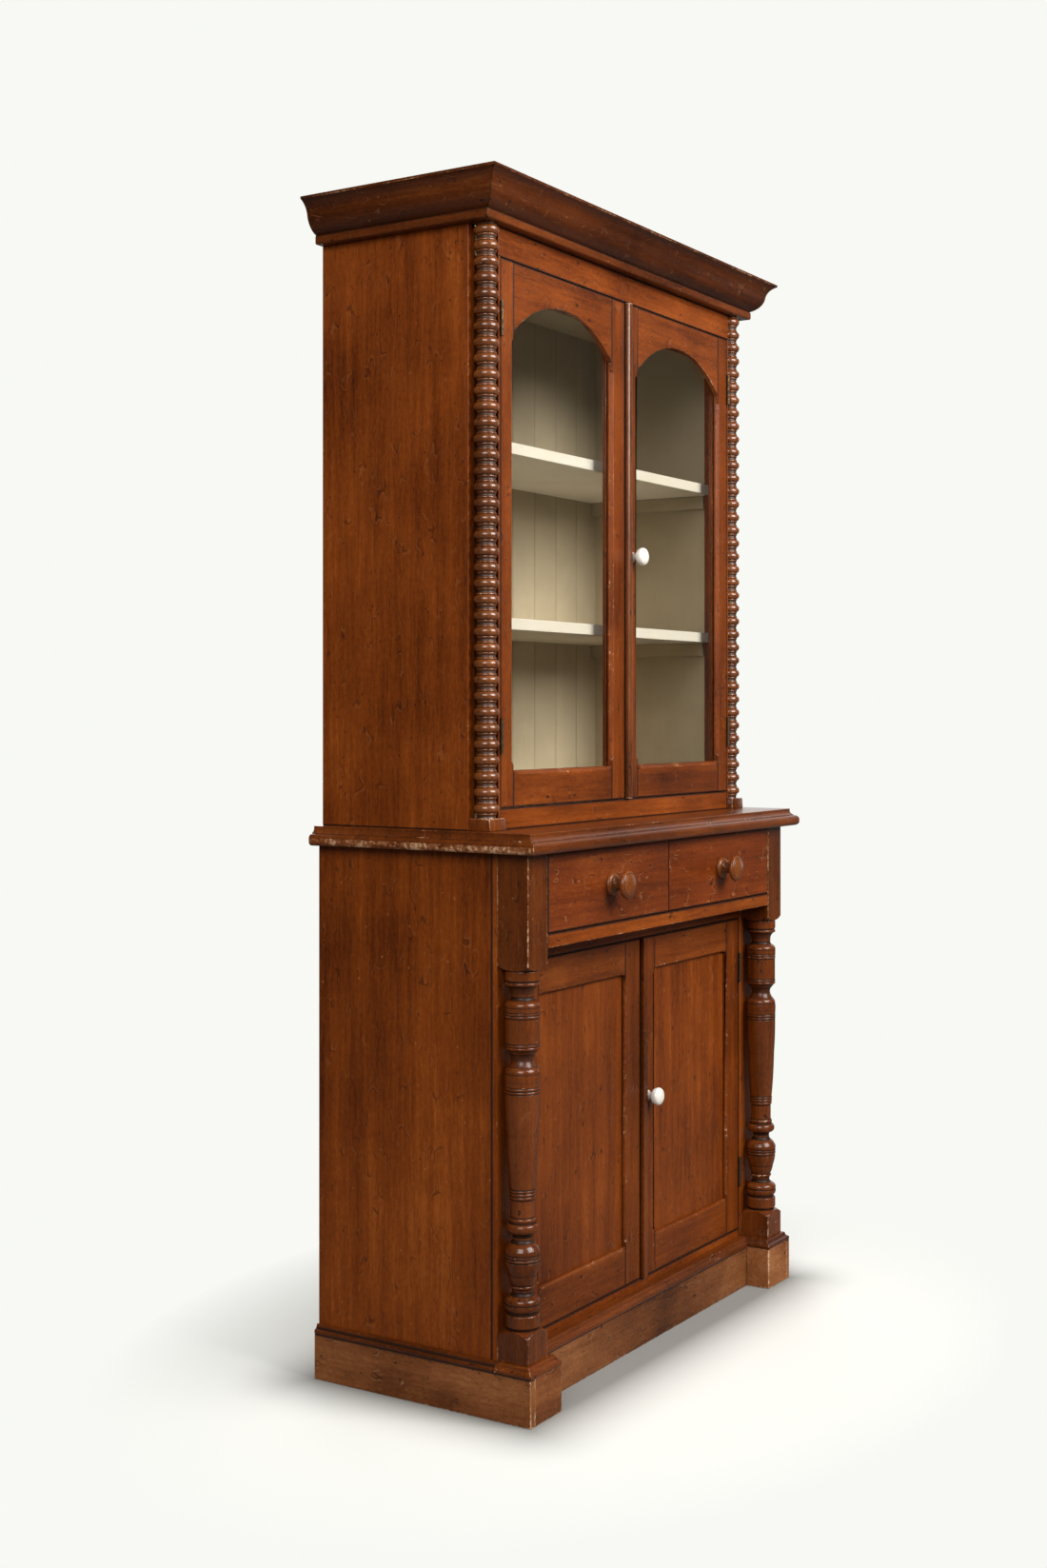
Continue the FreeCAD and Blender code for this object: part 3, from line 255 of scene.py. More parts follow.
def rubbedAndHighlit(wear, patches, rub, row):
    # how much of the stain has gone: most where the wear is high, and in patches; a row's always share also
    # lightens every worn edge evenly, a painted highlight along the arrises
    amount = wear * row["wear"] + patches * row["patches"] + rub * row["rub"] - row["from"]
    return (amount * row["gain"] + wear * row["always"]).held() * (wear * row["fadeIn"]).held()


def stainedWood(name, grain, values):
    f = Finish(name)
    place = f.place()
    along = f.stretched(place, grain, figure["grainLength"])
    spotted = f.stretched(place, grain, figure["markLength"])
    broad = f.noise(place, *figure["broad"])
    bands = f.noise(along, *figure["bands"])
    streaks = f.noise(along, *figure["streaks"])
    pores = f.noise(along, *figure["pores"])
    mottle = f.noise(spotted, *figure["mottle"])
    fine = bands * figure["bandTone"] + streaks * figure["streakTone"] + pores * figure["poreTone"]
    tone = 0.5 + broad * values["clouds"] + mottle * figure["mottleTone"] + fine * values["streaks"]
    tone = tone + (f.attribute("board") - 0.5) * figure["boardTone"]
    stops = list(zip(stainLevels, values["tones"]))
    colour = f.add("ShaderNodeValToRGB", {"stops": stops}, {"Fac": tone})
    # old knots, nail marks and small pale dents
    ragged = f.noise(place, *figure["ragged"])
    marks = f.spots(spotted, *figure["marks"], ragged * figure["markRag"])
    grubs = f.spots(spotted, *figure["grubs"], ragged * figure["grubRag"])
    dented = f.stretched(place, "up", figure["dentLength"])
    dents = f.spots(dented, *figure["dents"], ragged * figure["dentRag"])
    # short curved bruises, pale on one side and dark on the other
    curl = f.noise(spotted, *figure["curl"])
    bruised = ((f.noise(place, *figure["bruise"]) - figure["bruiseFrom"]) * figure["bruiseGain"]).held()
    paleCurls = ((figure["curlHalf"] - curl.size()) * figure["curlGain"]).held() * bruised
    beside = (curl - figure["curlGap"]).size()
    darkCurls = ((figure["curlHalf"] - beside) * figure["curlGain"]).held() * bruised
    dark = (marks + grubs + darkCurls * figure["darkCurls"]).held()
    pale = (dents + paleCurls * values["scars"]).held()
    colour = f.mix(dark * figure["markShare"], colour, values["markColour"])
    colour = f.mix(pale * figure["dentShare"], colour, values["dentColour"])
    # stain rubbed off the edges in patches with a painted highlight along every worn edge, dirt and painted
    # shade in the joints and hollows
    wear = f.attribute("wear")
    patches = f.noise(place, *figure["patches"])
    rub = f.noise(place, *figure["rub"])
    wornAndHighlight = rubbedAndHighlit(wear, patches, rub, wornThroughAndHighlight)
    bare = rubbedAndHighlit(wear, patches, rub, rubbedBare)
    colour = f.mix(wornAndHighlight * figure["wornAndHighlightShare"], colour, values["wornColour"])
    colour = f.mix(bare * figure["bareShare"], colour, values["bareColour"])
    # painted shade: this mark darkens joints, hollows and shaded pieces, besides real dirt
    soiledAndShaded = (f.attribute("dirt") * figure["soilAndShadeGain"]).held()
    colour = f.mix(soiledAndShaded * figure["soilAndShadeShare"], colour, values["dirtColour"])
    dull = values["roughness"] + pores * figure["poreDull"] + broad * figure["broadDull"]
    dull = dull + wornAndHighlight * figure["wornDull"] + soiledAndShaded * figure["soilAndShadeDull"]
    height = streaks * figure["streakHigh"] + pores * figure["poreHigh"] + bands * figure["bandHigh"]
    height = height - (marks + grubs + darkCurls).held() * figure["markDeep"] - dents * figure["dentDeep"]
    return f.principled({
        "Base Color": colour, "Roughness": dull, "Specular IOR Level": values["specular"],
        "Coat Weight": (1.0 - soiledAndShaded * figure["coatLost"]) * values["coat"],
        "Coat Roughness": values["coatRoughness"], "Normal": f.bump(height, *figure["bump"]),
    })


# the grime colour serves dirt, chips and the painted shade near the top of the case
creamPaint = {
    "colour": (0.84, 0.795, 0.69), "aged": (0.78, 0.71, 0.57), "grimeAndShade": (0.24, 0.19, 0.12), "shadedAtTop": 0.0,
}
greigePaint = {
    "colour": (0.60, 0.505, 0.35), "aged": (0.485, 0.402, 0.264), "grimeAndShade": (0.13, 0.10, 0.06), "shadedAtTop": 1.0,
}
topShade = {"from": 1.32, "rise": 0.62, "most": 0.42}
# from a millimetre under the top board's upper face
unpainted = {"from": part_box("upper_top")[1].z - 0.001, "colour": (0.135, 0.062, 0.030)}
brushed = {
    "cloud": (5.0, 4.0, 0.6, 0.4), "brush": (190.0, 3.0), "brushLength": 0.04, "chips": (70.0, 0.09, 0.05),
    "aged": 0.45, "cloudAged": 2.4, "brushAged": 0.5, "dirtAndShadeGain": 1.2, "dirtAndShadeShare": 0.8, "chipShare": 0.6,
    "roughness": 0.52, "cloudDull": 0.25, "brushDull": 0.1, "brushHigh": 0.7, "cloudHigh": 0.6,
    "chipDeep": 0.4, "bump": (0.25, 0.0008),
}


def paintedWood(name, values):
    f = Finish(name)
    place = f.place()
    cloud = f.noise(place, *brushed["cloud"])
    brush = f.noise(f.stretched(place, "up", brushed["brushLength"]), *brushed["brush"])
    chips = f.spots(place, *brushed["chips"])
    aged = (brushed["aged"] + cloud * brushed["cloudAged"] + brush * brushed["brushAged"]).held()
    colour = f.mix(aged, values["colour"], values["aged"])
    # painted shade: the paint is darkened most near the top of the case, for the shade inside it
    level = f.coordinate(f.here(), "Z")
    shadedAbove = ((level - topShade["from"]) * (1.0 / topShade["rise"])).held() * topShade["most"]
    # painted shade: joints and grooves in the paint are darkened, besides real dirt
    soiledAndShaded = (f.attribute("dirt") * brushed["dirtAndShadeGain"]).held() * brushed["dirtAndShadeShare"]
    for share in (shadedAbove * values["shadedAtTop"], soiledAndShaded, chips * brushed["chipShare"]):
        colour = f.mix(share, colour, values["grimeAndShade"])
    # over the top board, out of sight, the wood was left bare
    colour = f.mix(level.above(unpainted["from"]), colour, unpainted["colour"])
    height = brush * brushed["brushHigh"] + cloud * brushed["cloudHigh"] - chips * brushed["chipDeep"]
    return f.principled({
        "Base Color": colour,
        "Roughness": brushed["roughness"] + cloud * brushed["cloudDull"] + brush * brushed["brushDull"],
        "Normal": f.bump(height, *brushed["bump"]),
    })


pine = {
    "stops": [(0.25, (0.27, 0.14, 0.06)), (0.50, (0.44, 0.27, 0.13)), (0.75, (0.58, 0.40, 0.22))],
    "streaks": (45.0, 4.0, 0.6, 0.3), "pores": (420.0, 2.0), "streakTone": 0.9, "poreTone": 0.4,
    "knots": (24.0, 0.12, 0.3), "ragged": 90.0, "knotRag": 0.1, "knotColour": (0.10, 0.045, 0.02),
    "knotShare": 0.75, "roughness": 0.62, "poreDull": 0.2, "poreHigh": 0.5, "bump": (0.25, 0.0006),
}


def bareWood(name, grain):
    f = Finish(name)
    place = f.place()
    along = f.stretched(place, grain, figure["grainLength"])
    spotted = f.stretched(place, grain, figure["markLength"])
    streaks = f.noise(along, *pine["streaks"])
    pores = f.noise(along, *pine["pores"])
    knots = f.spots(spotted, *pine["knots"], f.noise(place, pine["ragged"]) * pine["knotRag"])
    tone = 0.5 + streaks * pine["streakTone"] + pores * pine["poreTone"]
    colour = f.add("ShaderNodeValToRGB", {"stops": pine["stops"]}, {"Fac": tone})
    colour = f.mix(knots * pine["knotShare"], colour, pine["knotColour"])
    return f.principled({
        "Base Color": colour, "Roughness": pine["roughness"] + pores * pine["poreDull"],
        "Normal": f.bump(streaks + pores * pine["poreHigh"], *pine["bump"]),
    })


glaze = {
    "white": (0.82, 0.79, 0.73), "aged": (0.70, 0.665, 0.59), "grimeAndShade": (0.20, 0.14, 0.08),
    "cloud": (60.0, 3.0), "dirtAndShadeShare": 0.9, "roughness": 0.13, "cloudDull": 0.08, "coat": 0.5,
    "coatRoughness": 0.05, "bump": (0.08, 0.0005),
}


def glazedWhite(name):
    f = Finish(name)
    cloud = f.noise(f.place(), *glaze["cloud"])
    colour = f.mix(0.5 + cloud, glaze["white"], glaze["aged"])
    # dirt with painted shade in the knob's hollows
    colour = f.mix((f.attribute("dirt") * glaze["dirtAndShadeShare"]).held(), colour, glaze["grimeAndShade"])
    return f.principled({
        "Base Color": colour, "Roughness": glaze["roughness"] + cloud * glaze["cloudDull"],
        "Coat Weight": glaze["coat"], "Coat Roughness": glaze["coatRoughness"],
        "Normal": f.bump(cloud, *glaze["bump"]),
    })


brass = {"bright": (0.120, 0.062, 0.026), "dull": (0.036, 0.019, 0.010)}
iron = {"bright": (0.15, 0.13, 0.115), "dull": (0.045, 0.034, 0.026)}
metal = {
    "tarnish": (150.0, 4.0, 0.65), "tarnishFrom": 0.12, "tarnishGain": 4.0, "metallic": 0.9, "metalLost": 0.4,
    "scratches": (900.0, 2.0), "scratchLength": 0.1, "roughness": 0.38, "tarnishDull": 0.25,
    "scratchDull": 0.15, "tarnishHigh": 0.3, "bump": (0.2, 0.0003),
}


def agedMetal(name, values):
    f = Finish(name)
    place = f.place()
    tarnish = ((f.noise(place, *metal["tarnish"]) + metal["tarnishFrom"]) * metal["tarnishGain"]).held()
    scratches = f.noise(f.stretched(place, "up", metal["scratchLength"]), *metal["scratches"])
    return f.principled({
        "Base Color": f.mix(tarnish, values["bright"], values["dull"]),
        "Metallic": metal["metallic"] - tarnish * metal["metalLost"],
        "Roughness": metal["roughness"] + tarnish * metal["tarnishDull"] + scratches * metal["scratchDull"],
        "Normal": f.bump(scratches + tarnish * metal["tarnishHigh"], *metal["bump"]),
    })


pane = {
    "mirror": (0.92, 0.94, 0.92), "clear": (0.975, 0.975, 0.965), "waves": (4.0, 2.0),
    "waveBump": (0.06, 0.003), "smears": (9.0, 3.0), "roughness": 0.03, "smearDull": 0.06,
    "mirrorLeast": 0.03, "mirrorRise": 0.5,
}


def paneGlass(name):
    f = Finish(name)
    place = f.here()
    wavy = f.bump(f.noise(place, *pane["waves"]), *pane["waveBump"])
    smears = f.noise(place, *pane["smears"])
    shine = f.add("ShaderNodeBsdfPrincipled", {}, {
        "Base Color": (*pane["mirror"], 1.0), "Metallic": 1.0,
        "Roughness": pane["roughness"] + (smears + 0.5) * pane["smearDull"], "Normal": wavy})
    clear = f.add("ShaderNodeBsdfTransparent", {}, {"Color": (*pane["clear"], 1.0)})
    facing = f.add("ShaderNodeLayerWeight", {}, {"Blend": 0.5, "Normal": wavy}, "Facing")
    mirrored = pane["mirrorLeast"] + facing * facing * facing * pane["mirrorRise"]
    return f.done(f.add("ShaderNodeMixShader", {}, {0: mirrored, 1: clear, 2: shine}))


def inEachGrain(word, make, *values):
    return {grain: make(word + "_" + grain, grain, *values) for grain in axes}


woods = inEachGrain("stained", stainedWood, stain)
turnedWoods = inEachGrain("turned", stainedWood, turnedStain)
beadWoods = inEachGrain("beads", stainedWood, beadStain)
crownShadedWoods = inEachGrain("crown", stainedWood, crownShadedStain)
drawerWoods = inEachGrain("drawers", stainedWood, drawerStain)
scuffedWoods = inEachGrain("scuffed", stainedWood, scuffedStain)
pines = inEachGrain("pine", bareWood)
knobWood = stainedWood("knobs_deep", "deep", knobStain)
cream = paintedWood("cream_paint", creamPaint)
greige = paintedWood("greige_paint", greigePaint)
whiteGlaze = glazedWhite("white_glaze")
oldBrass = agedMetal("old_brass", brass)
darkIron = agedMetal("dark_iron", iron)
clearGlass = paneGlass("clear_glass")
print("finishes made")

welding = {"digits": 6, "distance": 1e-5, "fine": 1e-6, "flatAngle": 0.5}


def solidsOf(node):
    # a node's loose triangles as one welded bmesh for each closed solid
    mesh = nodes[node].data
    spots = [tuple(round(c, welding["digits"]) for c in vertex.co) for vertex in mesh.vertices]
    waiting = set()
    spans = []
    first = 0
    for polygon in mesh.polygons:
        corners = [spots[i] for i in polygon.vertices]
        for a, b in zip(corners, corners[1:] + corners[:1]):
            if (b, a) in waiting:
                waiting.remove((b, a))
            else:
                waiting.add((a, b))
        if not waiting:
            spans.append((first, polygon.index + 1))
            first = polygon.index + 1
    if first < len(mesh.polygons):
        spans.append((first, len(mesh.polygons)))
    solids = []
    for start, end in spans:
        solid = bmesh.new()
        solid.from_mesh(mesh)
        solid.faces.ensure_lookup_table()
        others = [face for face in solid.faces if not start <= face.index < end]
        bmesh.ops.delete(solid, geom=others, context="FACES")
        bmesh.ops.remove_doubles(solid, verts=solid.verts, dist=welding["distance"])
        bmesh.ops.dissolve_limit(solid, angle_limit=math.radians(welding["flatAngle"]), verts=solid.verts,
                                 edges=solid.edges)
        solids.append(solid)
    return solids


def spanOf(bm):
    low = Vector([min(v.co[i] for v in bm.verts) for i in range(3)])
    high = Vector([max(v.co[i] for v in bm.verts) for i in range(3)])
    return low, high


def grainIndex(bm):
    low, high = spanOf(bm)
    sides = list(high - low)
    return sides.index(max(sides))


def rimLayer(bm):
    return bm.faces.layers.int.get("rim") or bm.faces.layers.int.new("rim")


def bevelled(bm, edges, width, segments=2):
    made = bmesh.ops.bevel(bm, geom=edges, offset=width, offset_type="OFFSET", segments=segments, profile=0.5,
                           affect="EDGES", clamp_overlap=True, material=-1)
    return made["faces"]


easing = {"wideFrom": 2.6, "edgeAngle": 25}
rimFace, chamferFace = 1, 2


def softened(bm, round_, rim):
    # eases the edges, and leaves a narrow rim on each wide flat face for its wear to fade over
    tag = rimLayer(bm)
    if rim:
        wide = []
        for face in bm.faces:
            outline = sum(edge.calc_length() for edge in face.edges)
            if 2 * face.calc_area() / outline > easing["wideFrom"] * rim:
                wide.append(face)
        for face in wide:
            made = bmesh.ops.inset_individual(bm, faces=[face], thickness=rim, use_even_offset=True)
            for ring in made["faces"]:
                ring[tag] = rimFace
    sharpest = math.radians(easing["edgeAngle"])
    sharp = [edge for edge in bm.edges if edge.is_manifold and edge.calc_face_angle() > sharpest]
    return set(bevelled(bm, sharp, round_)), tag


neighbours = []
mitred = ("side_plinths", "plinth_blocks")
wornEdge = {
    "joint": 0.0036, "rimJoint": 0.0060, "noseHigh": 0.014, "crest": 0.45, "rimShare": 0.75, "rimDirtAndShade": 0.75,
    "chamferShare": 0.7, "noseShare": 0.76, "hollowFrom": 0.12,
}


def touches(spot, own, gap):
    # whether another board lies within a gap of a spot, past a tight mitre
    for key, low, high, tree in neighbours:
        if key == own or (key[0] in mitred and own[0] in mitred):
            continue
        if all(low[i] - gap < spot[i] < high[i] + gap for i in range(3)):
            if tree.find_nearest(spot, gap)[0] is not None:
                return True
    return False


def hollowness(face):
    # above zero where a face's neighbours rise in front of it
    middle = face.calc_center_median()
    rise = 0.0
    for edge in face.edges:
        for other in edge.link_faces:
            if other is not face:
                rise += face.normal.dot((other.calc_center_median() - middle).normalized())
    return rise


def marked(bm, eased, tag, own, wearShare, dirtAndShadeShare, scuff=0.0, nose=0.0, grimeAndShade=0.0, hollowShade=0.0):
    # open edges wear; edges against another board, and hollows, are darkened with dirt and painted shade, and
    # a piece may be darkened all over as painted shade; both fade over the rims
    wear = bm.loops.layers.float_color.new("wear")
    dirt = bm.loops.layers.float_color.new("dirt")
    low, high = spanOf(bm)
    edgeVerts = {vertex for face in eased for vertex in face.verts}
    bm.normal_update()
    for face in bm.faces:
        middle = face.calc_center_median()
        isEdge = face in eased
        gap = wornEdge["joint"] if isEdge else wornEdge["rimJoint"]
        isJoint = (isEdge or face[tag] == rimFace) and touches(middle, own, gap)
        isLow = middle.z < low.z + wornEdge["noseHigh"]
        isNose = isLow and min(middle.x - low.x, high.x - middle.x) < nose
        crest = wornEdge["crest"] if nose and middle.z > low.z + wornEdge["noseHigh"] else 1.0
        isHollow = (isEdge or hollowShade) and hollowness(face) > wornEdge["hollowFrom"]
        for loop in face.loops:
            rubbed, soiledAndShaded = scuff, 0.0
            # painted shade: edges at a joint or in a hollow are darkened, dirt together with the shade of the
            # gap
            if isEdge:
                rubbed, soiledAndShaded = (0.0, 1.0) if isJoint or isHollow else (wearShare * crest, 0.0)
            # painted shade: faces in a hollow are darkened
            elif isHollow:
                rubbed, soiledAndShaded = 0.0, hollowShade
            elif face[tag] == chamferFace:
                rubbed = max(scuff, wornEdge["chamferShare"] * wearShare)
            elif face[tag] and loop.vert in edgeVerts and isJoint:
                soiledAndShaded = wornEdge["rimDirtAndShade"]
            elif face[tag] and loop.vert in edgeVerts:
                rubbed = max(scuff, wornEdge["rimShare"] * wearShare)
            elif isNose:
                rubbed = max(scuff, wornEdge["noseShare"] * wearShare)
            # painted shade: a piece's own share darkens it all over
            soiledAndShaded = max(grimeAndShade, soiledAndShaded * dirtAndShadeShare)
            loop[wear] = (rubbed, rubbed, rubbed, 1.0)
            loop[dirt] = (soiledAndShaded, soiledAndShaded, soiledAndShaded, 1.0)


fitting = {"flush": 0.001, "inLine": 1e-4, "archedFrom": 0.1}


def stopChamfered(bms, width, stop):
    # chamfers along the inner front edges of a door's stiles and rails, stopped short of the corners
    spans = [spanOf(bm) for bm in bms]
    front = min(low.y for low, high in spans)
    flush = front + fitting["flush"]
    face = [(low, high) for low, high in spans if low.y < flush]
    rails = [(low, high) for low, high in face if high.x - low.x > high.z - low.z]
    opening = (min(high.z for low, high in rails), max(low.z for low, high in rails))
    middle = (min(low.x for low, high in rails) + max(high.x for low, high in rails)) / 2
    for bm, (low, high) in zip(bms, spans):
        isArched = low.z > opening[1] - fitting["flush"] and high.z - low.z > fitting["archedFrom"]
        if low.y > flush or isArched:
            continue
        upright = high.z - low.z > high.x - low.x
        across, along = (0, 2) if upright else (2, 0)
        centre = (low + high) / 2
        target = middle if upright else sum(opening) / 2
        at = high[across] if centre[across] < target else low[across]
        start, end = opening if upright else (low.x, high.x)
        start, end = start + stop, end - stop
        line = [edge for edge in bm.edges if edge.calc_length() > end - start and all(
            abs(v.co[across] - at) < fitting["inLine"] and abs(v.co.y - front) < fitting["inLine"]
            for v in edge.verts)]
        for edge in line:
            first, last = sorted(edge.verts, key=lambda v: v.co[along])
            reach = last.co[along] - first.co[along]
            rest, near = bmesh.utils.edge_split(edge, first, (start - first.co[along]) / reach)
            rest = next(e for e in near.link_edges if last in e.verts)
            rest, far = bmesh.utils.edge_split(rest, near, (end - start) / (last.co[along] - start))
            middleEdge = next(e for e in far.link_edges if near in e.verts)
            tag = rimLayer(bm)
            for cut in bevelled(bm, [middleEdge], width, 1):
                cut[tag] = chamferFace


paintSlot = len(axes)


def painted(bm, isInside):
    for face in bm.faces:
        if isInside(face.calc_center_median(), face.normal):
            face.material_index = paintSlot


def cornered(bm, name):
    # copies a turned piece's marks from its vertices to its face corners, as the boards keep theirs
    source = bm.verts.layers.float.get(name + "Here")
    if source:
        target = bm.loops.layers.float_color.new(name)
        for face in bm.faces:
            for loop in face.loops:
                amount = loop.vert[source]
                loop[target] = (amount, amount, amount, 1.0)
        bm.verts.layers.float.remove(source)


def joinedPiece(name, bms, materials, smoothAngle=32):
    mesh = bpy.data.meshes.new(name)
    whole = bmesh.new()
    board = whole.faces.layers.float.new("board")
    for bm in bms:
        seed = boardSeeds.random()
        part = bpy.data.meshes.new("part")
        cornered(bm, "wear")
        cornered(bm, "dirt")
        own = bm.faces.layers.float.get("board") or bm.faces.layers.float.new("board")
        for face in bm.faces:
            face[own] = seed
            face.smooth = True
        bm.to_mesh(part)
        bm.free()
        whole.from_mesh(part)
        bpy.data.meshes.remove(part)
    whole.to_mesh(mesh)
    whole.free()
    for material in materials:
        mesh.materials.append(material)
    mesh.set_sharp_from_angle(angle=math.radians(smoothAngle))
    piece = bpy.data.objects.new(name, mesh)
    bpy.context.scene.collection.objects.link(piece)
    return piece


def evened(piece):
    weigh = piece.modifiers.new("even_normals", "WEIGHTED_NORMAL")
    weigh.keep_sharp = True
    weigh.weight = 80


def standsFor(piece, node):
    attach(piece, bodyOf[node])
    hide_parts(node)


def dressed(node, round_=0.0011, rim=0.0035, wearShare=0.6, dirtAndShadeShare=1.0, isInside=None, kinds=woods,
            paint=greige, scuff=0.0, nose=0.0, grimeAndShade=0.0, hollowShade=0.0, chamfer=None):
    # a node's boards with eased edges, grain along each board and wear
    bms = rawSolids[node]
    if chamfer:
        stopChamfered(bms, **chamfer)
    for number, bm in enumerate(bms):
        index = grainIndex(bm)
        eased, tag = softened(bm, round_, rim)
        marked(bm, eased, tag, (node, number), wearShare, dirtAndShadeShare, scuff, nose, grimeAndShade, hollowShade)
        for face in bm.faces:
            face.material_index = index
        if isInside:
            painted(bm, isInside)
    piece = joinedPiece(node + "_dressed", bms, [kinds[grain] for grain in axes] + [paint])
    evened(piece)
    standsFor(piece, node)


turnedNodes = ("column", "post")
unboarded = ("glass", "hinge", "catch", "knob", *turnedNodes)
rawSolids = {node: solidsOf(node) for node in nodes if not any(word in node for word in unboarded)}
for node in nodes:
    bms = solidsOf(node) if any(word in node for word in turnedNodes) else rawSolids.get(node, ())
    for number, bm in enumerate(bms):
        neighbours.append(((node, number), *spanOf(bm), BVHTree.FromBMesh(bm)))
print("solids split:", len(neighbours))


facing = {"sideways": 0.5, "up": 0.5, "outwards": 0.9}


def facesMiddle(centre, normal):
    return normal.x * centre.x < -facing["sideways"] * abs(centre.x)


plinthBoard = {"round_": 0.0018, "rim": 0.004, "wearShare": 1.0, "dirtAndShadeShare": 0.9, "kinds": scuffedWoods}
upperDoor = {"wearShare": 0.7, "chamfer": {"width": 0.0060, "stop": 0.017}}
lowerDoor = {"wearShare": 0.7, "chamfer": {"width": 0.0034, "stop": 0.013}}
drawerFront = {"round_": 0.0020, "rim": 0.004, "kinds": drawerWoods}
# painted shade: the grime shares darken whole pieces, the lower left door, panel and drawer more than the
# right, for the shade that falls on them
boards = {
    "lower_left_side": {"isInside": facesMiddle}, "lower_right_side": {"isInside": facesMiddle},
    "upper_left_side": {"isInside": facesMiddle}, "upper_right_side": {"isInside": facesMiddle},
    "front_plinth": {**plinthBoard, "scuff": 0.12, "grimeAndShade": 0.17},
    "side_plinths": {**plinthBoard, "scuff": 0.24},
    "plinth_blocks": {**plinthBoard, "round_": 0.0020, "wearShare": 1.2, "dirtAndShadeShare": 0.15, "scuff": 0.36},
    "plinth_caps": {"round_": 0.0010, "rim": 0.0, "wearShare": 0.9, "scuff": 0.24, "hollowShade": 0.7,
                    "kinds": turnedWoods},
    "waist_board": {"round_": 0.0012, "rim": 0.0, "wearShare": 1.32, "scuff": 0.06, "nose": 0.004,
                    "hollowShade": 0.8, "kinds": turnedWoods},
    "lower_bottom_rail": {}, "door_head_rail": {"wearShare": 0.4}, "drawer_rail": {"wearShare": 0.9},
    "upper_bottom_rail": {}, "frieze_rail": {}, "cornice_rail": {},
    "cornice": {"round_": 0.0007, "rim": 0.0, "wearShare": 0.9, "hollowShade": 0.5, "kinds": crownShadedWoods},
    "bed_moulding": {"round_": 0.0008, "rim": 0.0, "wearShare": 0.8, "hollowShade": 0.3, "kinds": turnedWoods},
    "lower_front_stiles": {}, "upper_front_stiles": {},
    "upper_left_door_frame": {**upperDoor, "grimeAndShade": 0.06},
    "upper_right_door_frame": {**upperDoor, "grimeAndShade": 0.09},
    "lower_left_door_frame": {**lowerDoor, "grimeAndShade": 0.22},
    "lower_right_door_frame": {**lowerDoor, "grimeAndShade": 0.12},
    "lower_left_panel": {"grimeAndShade": 0.12}, "lower_right_panel": {"grimeAndShade": 0.04},
    "left_drawer_front": {**drawerFront, "grimeAndShade": 0.18}, "right_drawer_front": {**drawerFront, "grimeAndShade": 0.08},
    # painted highlight: the upper cover bead's high wear share lays a pale line down its rounded edge
    "upper_cover_bead": {"round_": 0.0012, "rim": 0.0, "wearShare": 1.7, "kinds": beadWoods},
    "lower_cover_bead": {"round_": 0.0012, "rim": 0.0, "wearShare": 0.8, "kinds": turnedWoods},
}
for node, values in boards.items():
    dressed(node, **values)
print("stained boards dressed")


def always(centre, normal):
    return True


def facesDown(centre, normal):
    return normal.z < facing["up"]


def insideBack(centre, normal):
    return normal.y < facing["outwards"] and normal.z < facing["outwards"]


innerBoard = {"round_": 0.0014, "rim": 0.0, "wearShare": 0.0, "dirtAndShadeShare": 0.6, "isInside": always}
paleShelf = {**innerBoard, "paint": cream}
backBoard = {**innerBoard, "round_": 0.0016, "dirtAndShadeShare": 0.35, "isInside": insideBack}
pineBoard = {**innerBoard, "round_": 0.0008, "isInside": None, "kinds": pines}
innerBoards = {
    "lower_bottom": innerBoard, "lower_shelf": paleShelf, "lower_shelf_cleats": innerBoard,
    "upper_bottom": innerBoard, "low_shelf": paleShelf, "high_shelf": paleShelf,
    "upper_shelf_cleats": innerBoard, "upper_top": {**innerBoard, "isInside": facesDown},
    "lower_back_boards": backBoard, "upper_back_boards": backBoard,
    "drawer_divider": pineBoard, "drawer_runners": pineBoard, "left_drawer_box": pineBoard,
    "right_drawer_box": pineBoard,
}
for node, values in innerBoards.items():
    dressed(node, **values)
print("inner boards dressed")


def profileWalk(steps, spacing):
    # even points along straight and bowed steps of radius and height, with the corners eased
    walk = []
    for start, step in zip(steps, steps[1:]):
        a, b = complex(*start[:2]), complex(*step[:2])
        chord = b - a
        bulge = step[2] if len(step) > 2 else 0.0
        count = max(1, round(abs(chord) * (1 + bulge * bulge) / spacing))
        for number in range(count):
            share = number / count
            if bulge:
                outwards = -1j * chord / abs(chord)
                centre = (a + b) / 2 + outwards * abs(chord) * (bulge / 2 - (1 + bulge * bulge) / (4 * bulge))
                turn = 4 * math.atan(bulge) * share
                walk.append(centre + (a - centre) * complex(math.cos(turn), math.sin(turn)))
            else:
                walk.append(a + chord * share)
    walk.append(complex(*steps[-1][:2]))
    eased = list(walk)
    for number in range(1, len(walk) - 1):
        eased[number] = (walk[number - 1] + 4 * walk[number] + walk[number + 1]) / 6
    return eased


bending = {"reach": 2, "still": 1e-9, "wearGain": 7.0}


def bendAlong(walk):
    # how far each point stands out of (+) or lies behind (-) the line between its neighbours
    reach = bending["reach"]
    bends = []
    for number, here in enumerate(walk):
        before = walk[max(0, number - reach)]
        after = walk[min(len(walk) - 1, number + reach)]
        line = after - before
        across = here - (before + after) / 2
        bends.append((across / (-1j * line)).real if abs(line) > bending["still"] else 0.0)
    return bends


